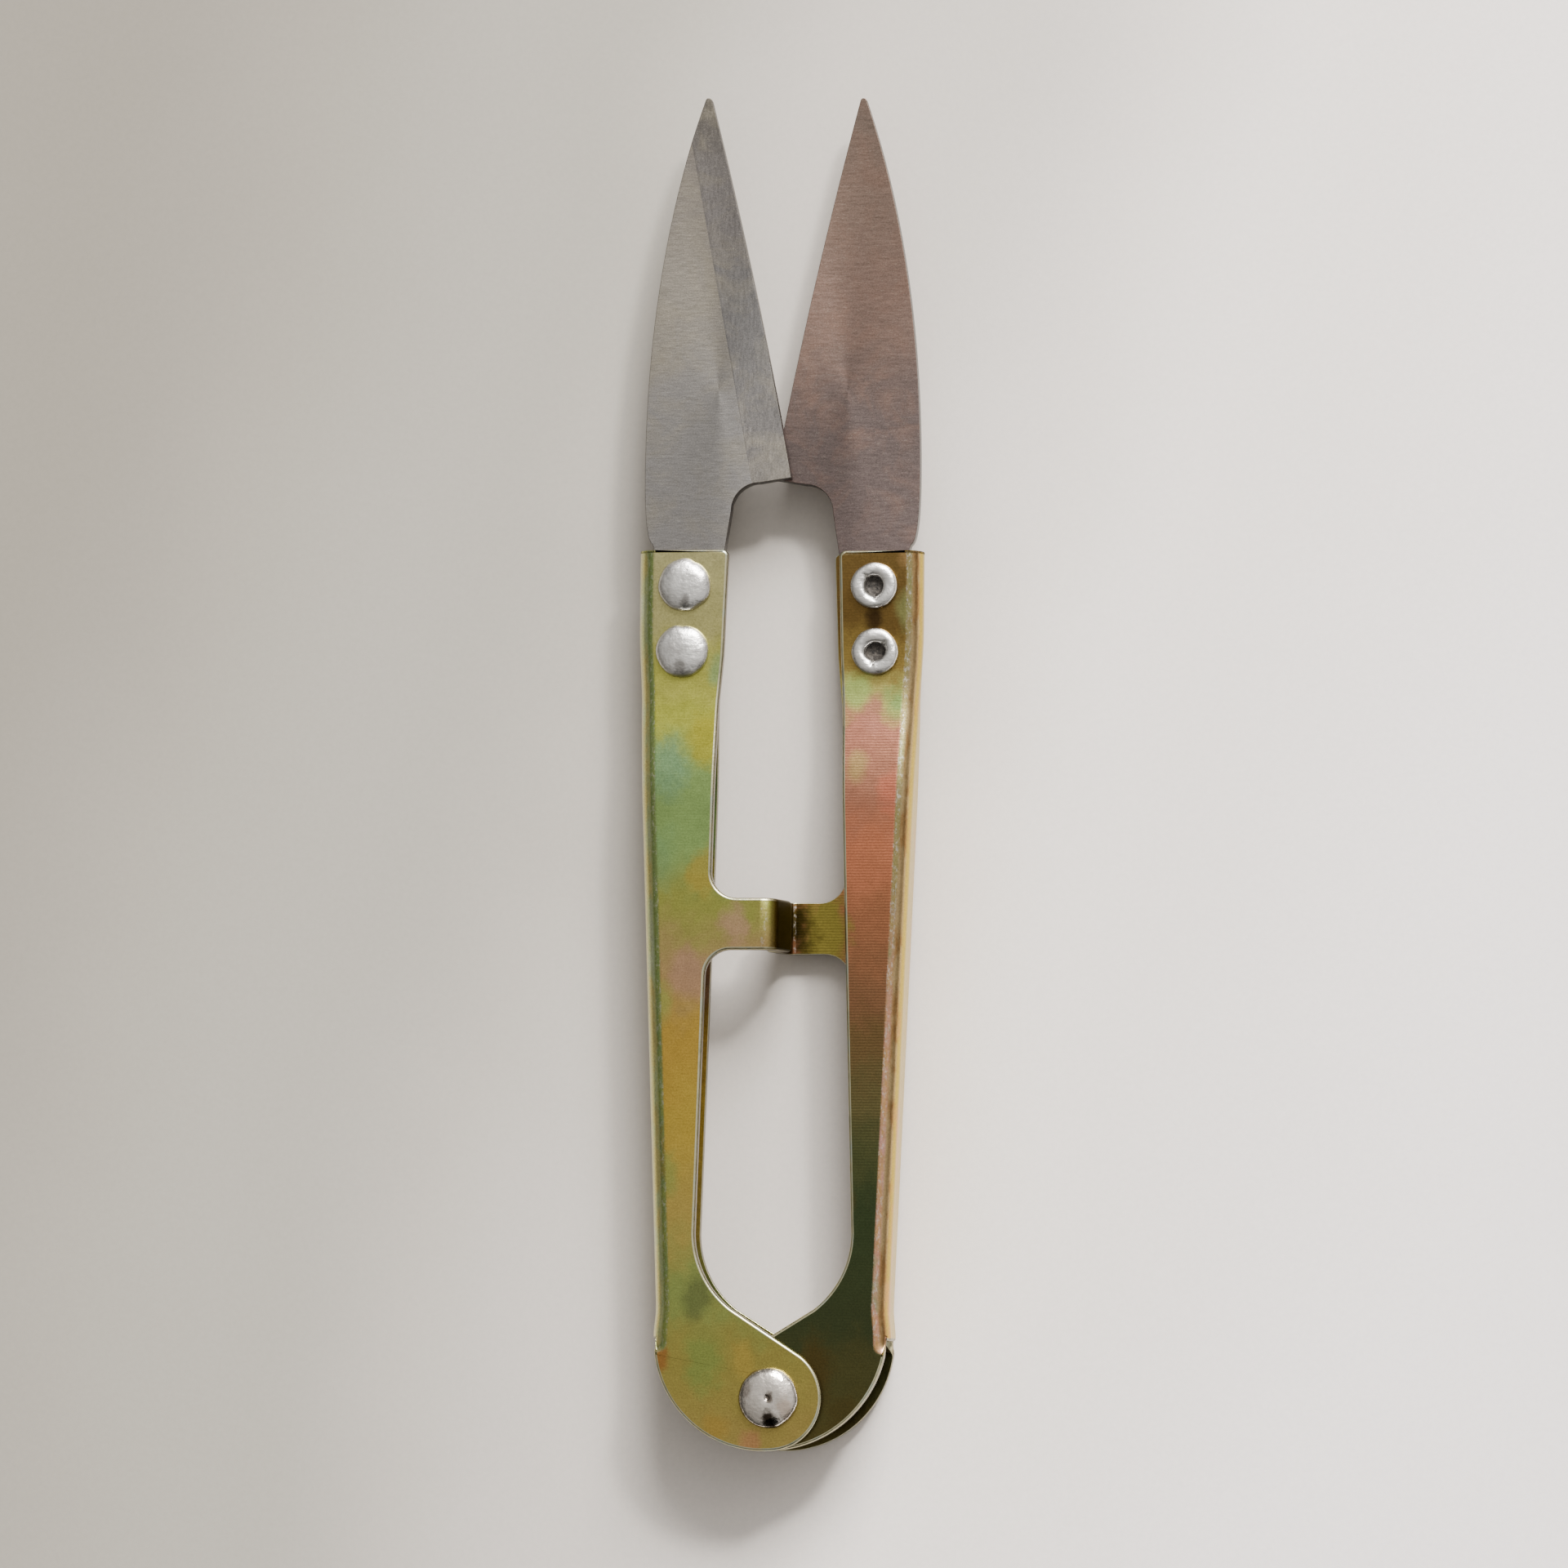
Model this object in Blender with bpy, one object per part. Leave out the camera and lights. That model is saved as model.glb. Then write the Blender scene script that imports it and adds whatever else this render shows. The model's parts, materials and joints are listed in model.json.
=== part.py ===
"""Thread snips: two folded steel halves with short blades, on one pivot rivet.

The halves have the same shape. The right one is the left one turned half a turn about its
length, so the plates of the two halves lie one between the other at the pivot. From the front
they are the left half's outer plate, the right half's inner plate, the left half's inner plate
and the right half's outer plate. A torsion spring round the pivot pushes the halves apart, and
two hooks on the outer plates meet half way up and stop them.

Everything is drawn in millimetres in the frame of one half: U runs outward from the middle line,
Y from the pivot to the tips, and Z toward that half's outer plate, from the plane where the
blades meet. On the left half, which is the one drawn, outward is -X.
"""

import math

import bmesh
import bpy
from mathutils import Vector

MM = 0.001

# Overall
LENGTH = 105.0
SHEET = 0.8
PLATE_GAP = 0.06
FIT_GAP = 0.02
PIVOT_CLEARANCE = 0.05

# Levels of the folded sheet's outer faces, beside the pivot and where it grips the blade
OUTER_LEVEL = 3.15
INNER_LEVEL = -(OUTER_LEVEL - SHEET - PLATE_GAP)
BLADE = 1.2
BLADE_LIFT = 0.03
GRIP_GAP = 0.05
OUTER_GRIP_LEVEL = BLADE_LIFT + BLADE + GRIP_GAP + SHEET
INNER_GRIP_LEVEL = BLADE_LIFT - GRIP_GAP - SHEET

# Folded edge: its outer face is a flat finger pad up to the ramp, then widens a little
BEND = 1.0
BEND_STEPS = 6
FOLD_END_Y = 4.4
PAD_FOOT_U = 8.85
PAD_SLOPE = 0.039
PAD_END_Y = 52.3
RAMP_START_Y = 45.3
RAMP_END_Y = 56.2
RAMP_STEPS = 6
GRIP_U = 11.0
GRIP_MIDDLE_Y = 57.8
GRIP_FULL_Y = 59.3
ARM_END_Y = 65.3

# Straight edges of the two plates that face the middle line, as (Y, U) points
OUTER_PLATE_EDGE = ((12.55, 5.86), (32.2, 5.31), (40.2, 4.87), (53.2, 4.59), (57.2, 4.25), (65.3, 3.94))
INNER_PLATE_EDGE = ((12.55, 6.1), (32.2, 5.52), (40.2, 5.29), (53.2, 4.93), (57.2, 4.72), (65.3, 4.52))

# Round lobes at the pivot
LOBE = 4.03
LOBE_WIDEST_U = 8.95
LOBE_TOP_Y = 3.9
LOBE_CORNER = (LOBE_WIDEST_U - 0.3, FOLD_END_Y - 0.25)
OUTER_LOBE_Y = 4.4
INNER_LOBE_Y = 5.2
FOOT_FILLET = 7.3
FOOT_SLANT = math.radians(37.5)


def lobe_circle(widest_y):
    """Centre and radius of the arc that passes the lobe's widest point and touches the pivot lobe."""
    radius = (LOBE_WIDEST_U**2 - LOBE**2 + widest_y**2) / (2 * (LOBE_WIDEST_U - LOBE))
    return (LOBE_WIDEST_U - radius, widest_y), radius


LOBE_REACH = lobe_circle(OUTER_LOBE_Y)[1] - OUTER_LOBE_Y

# Hooked tab of the outer plate
TAB_LOW_Y = 34.2
TAB_HIGH_Y = 38.2
TAB_FILLET = 2.0
TAB_BEND_U = 1.09
TAB_BEND = 1.43
TAB_ANGLE = math.radians(75.0)
HOOK_END_Z = -0.5

# Rivets
RIVET_PLACES = {"upper": (7.32, 62.52), "lower": (7.44, 57.38)}
RIVET_SHANK = 1.2
RIVET_HOLE = 1.25
CUTTER_REACH = 5.0
RIVET_HEAD = 2.05
RIVET_DOME = 0.9
TAIL_RING = 1.8
TAIL_BORE = 0.7
TAIL_HEIGHT = 0.7
PIVOT_SHANK = 1.25
PIVOT_HOLE = PIVOT_SHANK + PIVOT_CLEARANCE
PIVOT_HEAD = 2.3
PIVOT_DOME = 1.0
PIVOT_TAIL = 2.1
PIVOT_TAIL_HEIGHT = 0.8
HEAD_RIM = 0.15

# Blade
TIP_Y = LENGTH - LOBE_REACH
TIP_RADIUS = 0.25
TIP_U = 6.02
HEEL = (-0.75, 71.0)
EDGE_BULGE = 0.27
SPINE_U = 10.68
SPINE_Y = 71.4
SPINE_POINT_HANDLE = (3.25, -9.6)
SPINE_FOOT_HANDLE = 9.6
HEEL_FOOT_Y = 70.6
NECK_U = 3.9
NECK_FILLET = 2.2
SHOULDER = ((10.63, 68.8), (10.49, 67.0), (10.0, 65.8), (9.9, 65.3))
TANG_END = ((9.9, 54.8), (5.0, 54.8), (4.75, 63.4), (4.35, 65.5))
EDGE_LAND = 0.25
FACET_WIDTH = 2.6

# Torsion spring
WIRE = 0.8
COIL = 2.6
COIL_PITCH = 0.84
COIL_TURNS = 2.25
COIL_START = math.radians(225.0)
POINTS_PER_TURN = 24
LEG_U = 7.52
LEG_END_Y = 15.0
LEG_BEND = 2.0

# Frame: the base is the pivot rivet's tail, the middle of the length is at Y 0
PIVOT_Y = LOBE_REACH - LENGTH / 2
MID_Z = OUTER_LEVEL + FIT_GAP + PIVOT_TAIL_HEIGHT


def clear_scene():
    for obj in list(bpy.data.objects):
        bpy.data.objects.remove(obj)


def material(name, colour, roughness, metallic=1.0):
    made = bpy.data.materials.new(name)
    made.use_nodes = True
    shader = made.node_tree.nodes["Principled BSDF"]
    shader.inputs["Base Color"].default_value = (*colour, 1.0)
    shader.inputs["Roughness"].default_value = roughness
    shader.inputs["Metallic"].default_value = metallic
    return made


def between(points, y):
    """The value at y on a line through (y, value) points."""
    for (y0, v0), (y1, v1) in zip(points, points[1:]):
        if y <= y1:
            return v0 + (v1 - v0) * (y - y0) / (y1 - y0)
    return points[-1][1]


def smooth(t):
    t = min(max(t, 0.0), 1.0)
    return t * t * (3 - 2 * t)


def arc(centre, radius, start, end, steps):
    """Points on a circle from one angle to another, both ends included."""
    angles = (start + (end - start) * k / steps for k in range(steps + 1))
    return [(centre[0] + radius * math.cos(a), centre[1] + radius * math.sin(a)) for a in angles]


def mesh_object(name, points, faces, finish, parent):
    """A mesh object from points in the half's frame, in millimetres."""
    mesh = bpy.data.meshes.new(name)
    mesh.from_pydata([Vector(p) * MM for p in points], [], faces)
    mesh.materials.append(finish)
    mesh.shade_smooth()
    mesh.set_sharp_from_angle(angle=math.radians(28))
    return placed(name, mesh, parent)


def placed(name, data, parent):
    obj = bpy.data.objects.new(name, data)
    bpy.context.scene.collection.objects.link(obj)
    obj.parent = parent
    return obj


# ---------------------------------------------------------------- folded arm


def pad_u(y):
    """The folded edge's outer face: straight along the pad, then easing out to the grip."""
    straight = PAD_FOOT_U + PAD_SLOPE * (y - FOLD_END_Y)
    if y <= PAD_END_Y:
        return straight
    start = PAD_FOOT_U + PAD_SLOPE * (PAD_END_Y - FOLD_END_Y)
    return start + (GRIP_U - start) * smooth((y - PAD_END_Y) / (GRIP_FULL_Y - PAD_END_Y))


def level(y, wide, pinched):
    return wide + (pinched - wide) * smooth((y - RAMP_START_Y) / (RAMP_END_Y - RAMP_START_Y))


def lobe_outline(widest_y, plate_edge):
    """(U, Y) points from the plate's inner edge, round the pivot, to the end of the fold."""
    foot_y = plate_edge[0][0]
    inner_u = plate_edge[0][1]
    centre, radius = lobe_circle(widest_y)
    meeting = math.atan2(-centre[1], -centre[0]) + 2 * math.pi
    top = math.asin((LOBE_TOP_Y - widest_y) / radius) + 2 * math.pi
    fillet = (inner_u - FOOT_FILLET, foot_y)
    points = arc(fillet, FOOT_FILLET, 0.0, FOOT_SLANT - math.pi / 2, 8)
    points += arc((0.0, 0.0), LOBE, math.pi / 2 + FOOT_SLANT, meeting, 12)
    points += arc(centre, radius, meeting, top, 14)[1:]
    points.append(LOBE_CORNER)
    return points


def station_heights():
    """Y of each row across the fold, from the fold's end to the blade end of the arm."""
    heights = [FOLD_END_Y, OUTER_PLATE_EDGE[0][0]]
    heights += [TAB_LOW_Y - TAB_FILLET, TAB_HIGH_Y + TAB_FILLET]
    ramp = RAMP_END_Y - RAMP_START_Y
    heights += [RAMP_START_Y + ramp * k / RAMP_STEPS for k in range(RAMP_STEPS + 1)]
    heights += [GRIP_MIDDLE_Y, GRIP_FULL_Y, ARM_END_Y]
    return heights


def fold_row(y, depth):
    """One row across the arm, from the outer plate's edge round the fold to the inner plate's."""
    top = level(y, OUTER_LEVEL, OUTER_GRIP_LEVEL)
    low = level(y, INNER_LEVEL, INNER_GRIP_LEVEL)
    centre = pad_u(y) - BEND
    radius = BEND - depth
    quarter = math.pi / 2
    row = [(between(OUTER_PLATE_EDGE, y), y, top - depth)]
    row += [(u, y, z) for u, z in arc((centre, top - BEND), radius, quarter, 0.0, BEND_STEPS)]
    row += [(u, y, z) for u, z in arc((centre, low + BEND), radius, 0.0, -quarter, BEND_STEPS)]
    row.append((between(INNER_PLATE_EDGE, y), y, low + depth))
    return row


def arm_skin(depth):
    """One side of the folded sheet, as points and outward faces. Depth 0 is the outer side."""
    points = []
    faces = []

    def put(u, y, z):
        points.append((-u, y, z))
        return len(points) - 1

    rows = [[put(*p) for p in fold_row(y, depth)] for y in station_heights()]
    last = len(rows[0]) - 1
    for number, (low, high) in enumerate(zip(rows, rows[1:])):
        # Beside the pivot the two plates are the lobes, so only the fold itself has faces here.
        columns = range(1, last - 1) if number == 0 else range(last)
        faces += [(low[k], high[k], high[k + 1], low[k + 1]) for k in columns]

    outer_z = OUTER_LEVEL - depth
    outline = lobe_outline(OUTER_LOBE_Y, OUTER_PLATE_EDGE)
    lobe = [rows[1][0]] + [put(u, y, outer_z) for u, y in outline[1:]]
    faces.append((rows[1][1], rows[0][1], *reversed(lobe)))

    inner_z = INNER_LEVEL + depth
    outline = lobe_outline(INNER_LOBE_Y, INNER_PLATE_EDGE)
    lobe = [rows[1][last]] + [put(u, y, inner_z) for u, y in outline[1:]]
    faces.append((*lobe, rows[0][last - 1], rows[1][last - 1]))

    faces += tab_faces(rows[2][0], rows[3][0], put, outer_z, depth)
    return remove_unused(points, faces)


def tab_faces(low_corner, high_corner, put, z, depth):
    """The tab from the outer plate to the middle line, and its hook bent toward the other half."""
    low_u = between(OUTER_PLATE_EDGE, TAB_LOW_Y - TAB_FILLET)
    high_u = between(OUTER_PLATE_EDGE, TAB_HIGH_Y + TAB_FILLET)
    low_arc = arc((low_u - TAB_FILLET, TAB_LOW_Y - TAB_FILLET), TAB_FILLET, 0.0, math.pi / 2, 6)
    high_arc = arc((high_u - TAB_FILLET, TAB_HIGH_Y + TAB_FILLET), TAB_FILLET, -math.pi / 2, 0.0, 6)
    low = [low_corner] + [put(u, y, z) for u, y in low_arc[1:]]
    high = [put(u, y, z) for u, y in high_arc[:-1]] + [high_corner]
    bend = arc((TAB_BEND_U, z + depth - TAB_BEND), TAB_BEND - depth, math.pi / 2, math.pi / 2 + TAB_ANGLE, 6)
    fall = bend[-1][1] - HOOK_END_Z - depth * math.cos(TAB_ANGLE)
    bend.append((bend[-1][0] - fall / math.tan(TAB_ANGLE), bend[-1][1] - fall))
    low_side = [put(u, TAB_LOW_Y, z) for u, z in bend]
    high_side = [put(u, TAB_HIGH_Y, z) for u, z in bend]
    faces = [(*low, low_side[0], high_side[0], *high)]
    for k in range(len(bend) - 1):
        faces.append((low_side[k], low_side[k + 1], high_side[k + 1], high_side[k]))
    return faces


def remove_unused(points, faces):
    used = sorted({index for face in faces for index in face})
    new = {old: index for index, old in enumerate(used)}
    return [points[k] for k in used], [tuple(new[k] for k in face) for face in faces]


def sheet_solid(skin):
    """A closed solid between the outer skin and the inner one, which share their faces' order."""
    outer, faces = skin(0.0)
    inner, _ = skin(SHEET)
    count = len(outer)
    directed = {(face[k - 1], face[k]) for face in faces for k in range(len(face))}
    solid = list(faces) + [tuple(reversed([k + count for k in face])) for face in faces]
    for a, b in directed:
        if (b, a) not in directed:
            solid.append((b, a, a + count, b + count))
    return outer + inner, solid


def cylinder_points(radius, z0, z1, place, sides=32):
    ring = arc(place, radius, 0.0, 2 * math.pi, sides)[:-1]
    points = [(x, y, z0) for x, y in ring] + [(x, y, z1) for x, y in ring]
    faces = [tuple(reversed(range(sides))), tuple(range(sides, 2 * sides))]
    faces += [(k, (k + 1) % sides, sides + (k + 1) % sides, sides + k) for k in range(sides)]
    return points, faces


def hole_cutter(name, finish, parent):
    """The pivot hole and the two rivet holes of one half, as one cutter."""
    points = []
    faces = []
    holes = [(PIVOT_HOLE, (0.0, 0.0))]
    holes += [(RIVET_HOLE, (-u, y)) for u, y in RIVET_PLACES.values()]
    for radius, place in holes:
        ring, sides = cylinder_points(radius, -CUTTER_REACH, CUTTER_REACH, place)
        faces += [tuple(k + len(points) for k in face) for face in sides]
        points += ring
    cutter = mesh_object(name, points, faces, finish, parent)
    cutter.hide_render = True
    cutter.display_type = "WIRE"
    return cutter


def add_holes(obj, cutter):
    cut = obj.modifiers.new("rivet holes", "BOOLEAN")
    cut.operation = "DIFFERENCE"
    cut.solver = "EXACT"
    cut.object = cutter


# ---------------------------------------------------------------- blade


def bezier(p0, p1, p2, p3, steps):
    curve = []
    for k in range(steps + 1):
        t = k / steps
        weights = ((1 - t) ** 3, 3 * t * (1 - t) ** 2, 3 * t * t * (1 - t), t**3)
        curve.append(tuple(sum(w * p[i] for w, p in zip(weights, (p0, p1, p2, p3))) for i in (0, 1)))
    return curve


def blade_outline():
    """(U, Y) points: up the cutting edge, round the tip, down the spine and round the tang."""
    tip = (TIP_U, TIP_Y - TIP_RADIUS)
    point = arc(tip, TIP_RADIUS, math.radians(165), math.radians(15), 4)
    edge = []
    steps = 12
    for k in range(steps):
        t = k / steps
        u = HEEL[0] + (point[0][0] - HEEL[0]) * t - 4 * EDGE_BULGE * t * (1 - t)
        edge.append((u, HEEL[1] + (point[0][1] - HEEL[1]) * t))
    start = point[-1]
    first = (start[0] + SPINE_POINT_HANDLE[0], start[1] + SPINE_POINT_HANDLE[1])
    spine = bezier(start, first, (SPINE_U, SPINE_Y + SPINE_FOOT_HANDLE), (SPINE_U, SPINE_Y), 12)
    neck = arc((NECK_U - NECK_FILLET, HEEL_FOOT_Y - NECK_FILLET), NECK_FILLET, 0.0, math.pi / 2, 6)
    return edge + point + spine[1:] + list(SHOULDER) + list(TANG_END) + neck


def blade_mesh(finish):
    """A flat blade with one ground facet along its cutting edge, on the side away from its mate."""
    outline = [(-u, y) for u, y in blade_outline()]
    low = BLADE_LIFT
    build = bmesh.new()
    bottom = [build.verts.new((x, y, low)) for x, y in outline]
    top = [build.verts.new((x, y, low + BLADE)) for x, y in outline]
    count = len(outline)
    build.faces.new(top)
    build.faces.new(list(reversed(bottom)))
    for k in range(count):
        after = (k + 1) % count
        build.faces.new((bottom[k], bottom[after], top[after], top[k]))
    heel = Vector((-HEEL[0], HEEL[1], low + EDGE_LAND))
    along = Vector((-TIP_U, TIP_Y, low + EDGE_LAND)) - heel
    across = Vector((-along.y, along.x, 0.0)).normalized()
    rise = across * FACET_WIDTH + Vector((0.0, 0.0, BLADE - EDGE_LAND))
    normal = along.cross(rise)
    if normal.z < 0:
        normal.negate()
    everything = build.verts[:] + build.edges[:] + build.faces[:]
    bmesh.ops.bisect_plane(build, geom=everything, plane_co=heel, plane_no=normal, clear_outer=True)
    bmesh.ops.holes_fill(build, edges=[edge for edge in build.edges if edge.is_boundary])
    bmesh.ops.recalc_face_normals(build, faces=build.faces[:])
    bmesh.ops.scale(build, vec=(MM, MM, MM), verts=build.verts[:])
    mesh = bpy.data.meshes.new("blade")
    build.to_mesh(mesh)
    build.free()
    mesh.materials.append(finish)
    return mesh


# ---------------------------------------------------------------- rivets


def turned(profile, sides):
    """A closed turned solid from an (R, Z) profile that runs from its top to its bottom."""
    points = [(0.0, 0.0, profile[0][1])]
    for r, z in profile[1:-1]:
        ring = arc((0.0, 0.0), r, 0.0, 2 * math.pi, sides)[:-1]
        points += [(x, y, z) for x, y in ring]
    points.append((0.0, 0.0, profile[-1][1]))
    last = len(points) - 1
    rings = len(profile) - 2
    faces = []
    for k in range(sides):
        after = (k + 1) % sides
        faces.append((0, 1 + k, 1 + after))
        for ring in range(rings - 1):
            above = 1 + ring * sides
            below = above + sides
            faces.append((above + k, below + k, below + after, above + after))
        bottom = 1 + (rings - 1) * sides
        faces.append((bottom + k, last, bottom + after))
    return points, faces


def domed_head(radius, height, base, steps=6):
    """Profile of a domed head, from its crown down to the outer corner of its underside."""
    rim = base + HEAD_RIM
    dome = []
    for k in range(steps + 1):
        angle = math.pi / 2 * (1 - k / steps)
        dome.append((radius * math.cos(angle), rim + (height - HEAD_RIM) * math.sin(angle)))
    dome[0] = (0.0, dome[0][1])
    return dome + [(radius, base)]


def blade_rivet_mesh():
    """A semi-tubular rivet: domed head on the outer plate, rolled hollow tail on the inner one."""
    head_base = OUTER_GRIP_LEVEL + FIT_GAP
    tail_top = INNER_GRIP_LEVEL - FIT_GAP
    profile = domed_head(RIVET_HEAD, RIVET_DOME, head_base)
    profile += [(RIVET_SHANK, head_base), (RIVET_SHANK, tail_top)]
    ring_r = (TAIL_RING + TAIL_BORE) / 2
    half_width = (TAIL_RING - TAIL_BORE) / 2
    half_height = TAIL_HEIGHT / 2
    for k in range(9):
        angle = math.radians(70 - 250 * k / 8)
        r = ring_r + half_width * math.cos(angle)
        profile.append((r, tail_top - half_height + half_height * math.sin(angle)))
    profile += [(TAIL_BORE, tail_top + 1.0), (0.0, tail_top + 1.4)]
    return turned(profile, 24)


def pivot_rivet_mesh():
    """The pivot rivet: domed head with a centre mark in front, formed tail behind."""
    front = OUTER_LEVEL + FIT_GAP
    back = -front
    dome = domed_head(PIVOT_HEAD, PIVOT_DOME, front, 7)
    crown = dome[0][1]
    profile = [(0.0, crown - 0.22), (0.22, crown - 0.04)] + dome[1:]
    profile += [(PIVOT_SHANK, front), (PIVOT_SHANK, back), (PIVOT_TAIL - 0.1, back)]
    profile += [(PIVOT_TAIL, back - 0.25), (PIVOT_TAIL - 0.45, back - 0.6)]
    profile += [(1.0, back - PIVOT_TAIL_HEIGHT), (0.75, back - PIVOT_TAIL_HEIGHT)]
    profile += [(0.6, back - 0.3), (0.0, back - 0.2)]
    return turned(profile, 32)


# ---------------------------------------------------------------- torsion spring


def spring_path():
    """Centre line: up the left leg's wall contact in reverse, round the coil, out to the right."""
    rise = COIL_PITCH * COIL_TURNS
    steps = round(POINTS_PER_TURN * COIL_TURNS)
    coil = []
    for k in range(steps + 1):
        angle = COIL_START + 2 * math.pi * COIL_TURNS * k / steps
        height = rise * (k / steps - 0.5)
        coil.append((COIL * math.cos(angle), COIL * math.sin(angle), height))
    start = coil[0]
    corner_y = start[1] + (LEG_U + start[0])
    cut = LEG_BEND * math.tan(math.radians(22.5))
    centre = (LEG_U - LEG_BEND, corner_y + cut)
    leg = arc(centre, LEG_BEND, math.radians(-45), 0.0, 5) + [(LEG_U, LEG_END_Y)]
    left = [(-u, y, start[2]) for u, y in reversed(leg)]
    right = [(u, y, -start[2]) for u, y in leg]
    return left + coil + right


def spring_object(finish, parent):
    curve = bpy.data.curves.new("torsion_spring", "CURVE")
    curve.dimensions = "3D"
    curve.bevel_depth = WIRE / 2 * MM
    curve.bevel_resolution = 2
    curve.use_fill_caps = True
    curve.materials.append(finish)
    path = spring_path()
    spline = curve.splines.new("POLY")
    spline.points.add(len(path) - 1)
    for point, place in zip(spline.points, path):
        point.co = (*(Vector(place) * MM), 1.0)
    return placed("torsion_spring", curve, parent)


# ---------------------------------------------------------------- assembly


def half_frame(name):
    """An empty on the joint's axis, which carries one half of the snips."""
    frame = bpy.data.objects.new(name, None)
    bpy.context.scene.collection.objects.link(frame)
    frame.location = (0.0, PIVOT_Y * MM, MID_Z * MM)
    return frame


def main():
    clear_scene()
    zinc = material("yellow_zinc_plating", (0.36, 0.29, 0.12), 0.34)
    steel = material("blade_steel", (0.36, 0.35, 0.33), 0.32)
    bright = material("rivet_steel", (0.62, 0.61, 0.58), 0.3)
    wire = material("spring_wire", (0.3, 0.29, 0.27), 0.4)

    left = half_frame("left_half")
    right = half_frame("right_half")
    right.rotation_euler = (0.0, math.pi, 0.0)

    arm_points, arm_faces = sheet_solid(arm_skin)
    blade = blade_mesh(steel)
    rivet_points, rivet_faces = blade_rivet_mesh()
    for side, parent in (("left", left), ("right", right)):
        arm = mesh_object(f"{side}_arm", arm_points, arm_faces, zinc, parent)
        blade_part = placed(f"{side}_blade", blade, parent)
        cutter = hole_cutter(f"{side}_hole_cutter", zinc, parent)
        add_holes(arm, cutter)
        add_holes(blade_part, cutter)
        for which, (u, y) in RIVET_PLACES.items():
            name = f"{side}_{which}_rivet"
            rivet = mesh_object(name, rivet_points, rivet_faces, bright, parent)
            rivet.location = (-u * MM, y * MM, 0.0)

    mesh_object("pivot_rivet", *pivot_rivet_mesh(), bright, left)
    spring_object(wire, left)


main()
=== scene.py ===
"""Looks of the thread snips: plated arms, ground blades, rivets and spring round the CAD frame."""

import json
import math

import bmesh
import bpy
from mathutils import Matrix, Vector, noise


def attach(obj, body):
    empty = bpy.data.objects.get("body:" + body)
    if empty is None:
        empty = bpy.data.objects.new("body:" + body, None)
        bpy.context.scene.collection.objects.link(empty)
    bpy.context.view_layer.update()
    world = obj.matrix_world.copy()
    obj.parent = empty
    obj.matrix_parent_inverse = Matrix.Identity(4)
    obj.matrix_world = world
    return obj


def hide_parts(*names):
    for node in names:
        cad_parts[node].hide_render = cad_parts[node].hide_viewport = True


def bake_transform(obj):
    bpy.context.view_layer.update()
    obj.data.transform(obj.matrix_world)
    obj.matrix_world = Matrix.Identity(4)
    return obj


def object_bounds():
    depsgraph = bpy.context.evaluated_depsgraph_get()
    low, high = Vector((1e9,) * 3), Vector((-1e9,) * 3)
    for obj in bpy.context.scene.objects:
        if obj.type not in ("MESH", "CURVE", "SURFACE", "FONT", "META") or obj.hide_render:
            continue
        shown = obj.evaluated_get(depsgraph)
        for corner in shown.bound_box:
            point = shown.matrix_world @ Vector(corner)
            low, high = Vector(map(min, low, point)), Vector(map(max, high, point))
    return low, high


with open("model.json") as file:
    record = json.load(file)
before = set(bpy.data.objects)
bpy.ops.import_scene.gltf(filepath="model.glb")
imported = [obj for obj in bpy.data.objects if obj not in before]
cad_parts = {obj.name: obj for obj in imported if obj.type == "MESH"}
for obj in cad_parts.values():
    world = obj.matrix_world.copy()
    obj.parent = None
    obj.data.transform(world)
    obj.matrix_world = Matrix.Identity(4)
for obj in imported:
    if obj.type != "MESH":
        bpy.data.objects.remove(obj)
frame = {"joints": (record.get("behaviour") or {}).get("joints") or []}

cad_low, cad_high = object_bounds()

MM = 0.001
JOINT = frame["joints"][0]
PIVOT = Vector(JOINT["pos_m"])
LENGTH = (cad_high.y - cad_low.y) / MM

# The folded sheet, in millimetres in the frame of one half: U outward, Y to the tips, Z to the outer plate
SHEET = 0.8
OUTER_LEVEL = 3.15
INNER_LEVEL = -2.29
OUTER_GRIP_LEVEL = 2.08
INNER_GRIP_LEVEL = -0.82
BEND = 1.35
BEND_STEPS = 12
FOLD_END_Y = 4.4
FOLD_FLARE = 0.26
FLARE_LENGTH = 2.6
LIP_LENGTH = 1.2
LIP_STEPS = 7
LIP_COLUMNS = 8
PAD_FOOT_U = 8.85
PAD_SLOPE = 0.039
PAD_END_Y = 52.3
RAMP_START_Y = 45.3
RAMP_END_Y = 56.2
RAMP_STEPS = 12
GRIP_U = 11.0
GRIP_FULL_Y = 59.3
ARM_END_Y = 65.3
ARM_CORNER = 0.5
OUTER_PLATE_EDGE = ((12.55, 5.86), (32.2, 5.31), (40.2, 4.87), (53.2, 4.59), (57.2, 4.25), (65.3, 3.94))
INNER_PLATE_EDGE = ((12.55, 6.1), (32.2, 5.52), (40.2, 5.29), (53.2, 4.93), (57.2, 4.72), (65.3, 4.52))
LOBE = 4.03
LOBE_WIDEST_U = 8.95
OUTER_LOBE_Y = 4.4
INNER_LOBE_Y = 5.2
FOOT_FILLET = 7.3
FOOT_SLANT = math.radians(37.5)
TAB_LOW_Y = 34.2
TAB_HIGH_Y = 38.2
TAB_FILLET = 2.0
TAB_BEND_U = 1.09
TAB_BEND = 1.43
TAB_ANGLE = math.radians(75.0)
HOOK_END_Z = -0.5
HOOK_CORNER = 0.4
OUTSIDE_EDGE = 0.22
INSIDE_EDGE = 0.05

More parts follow.
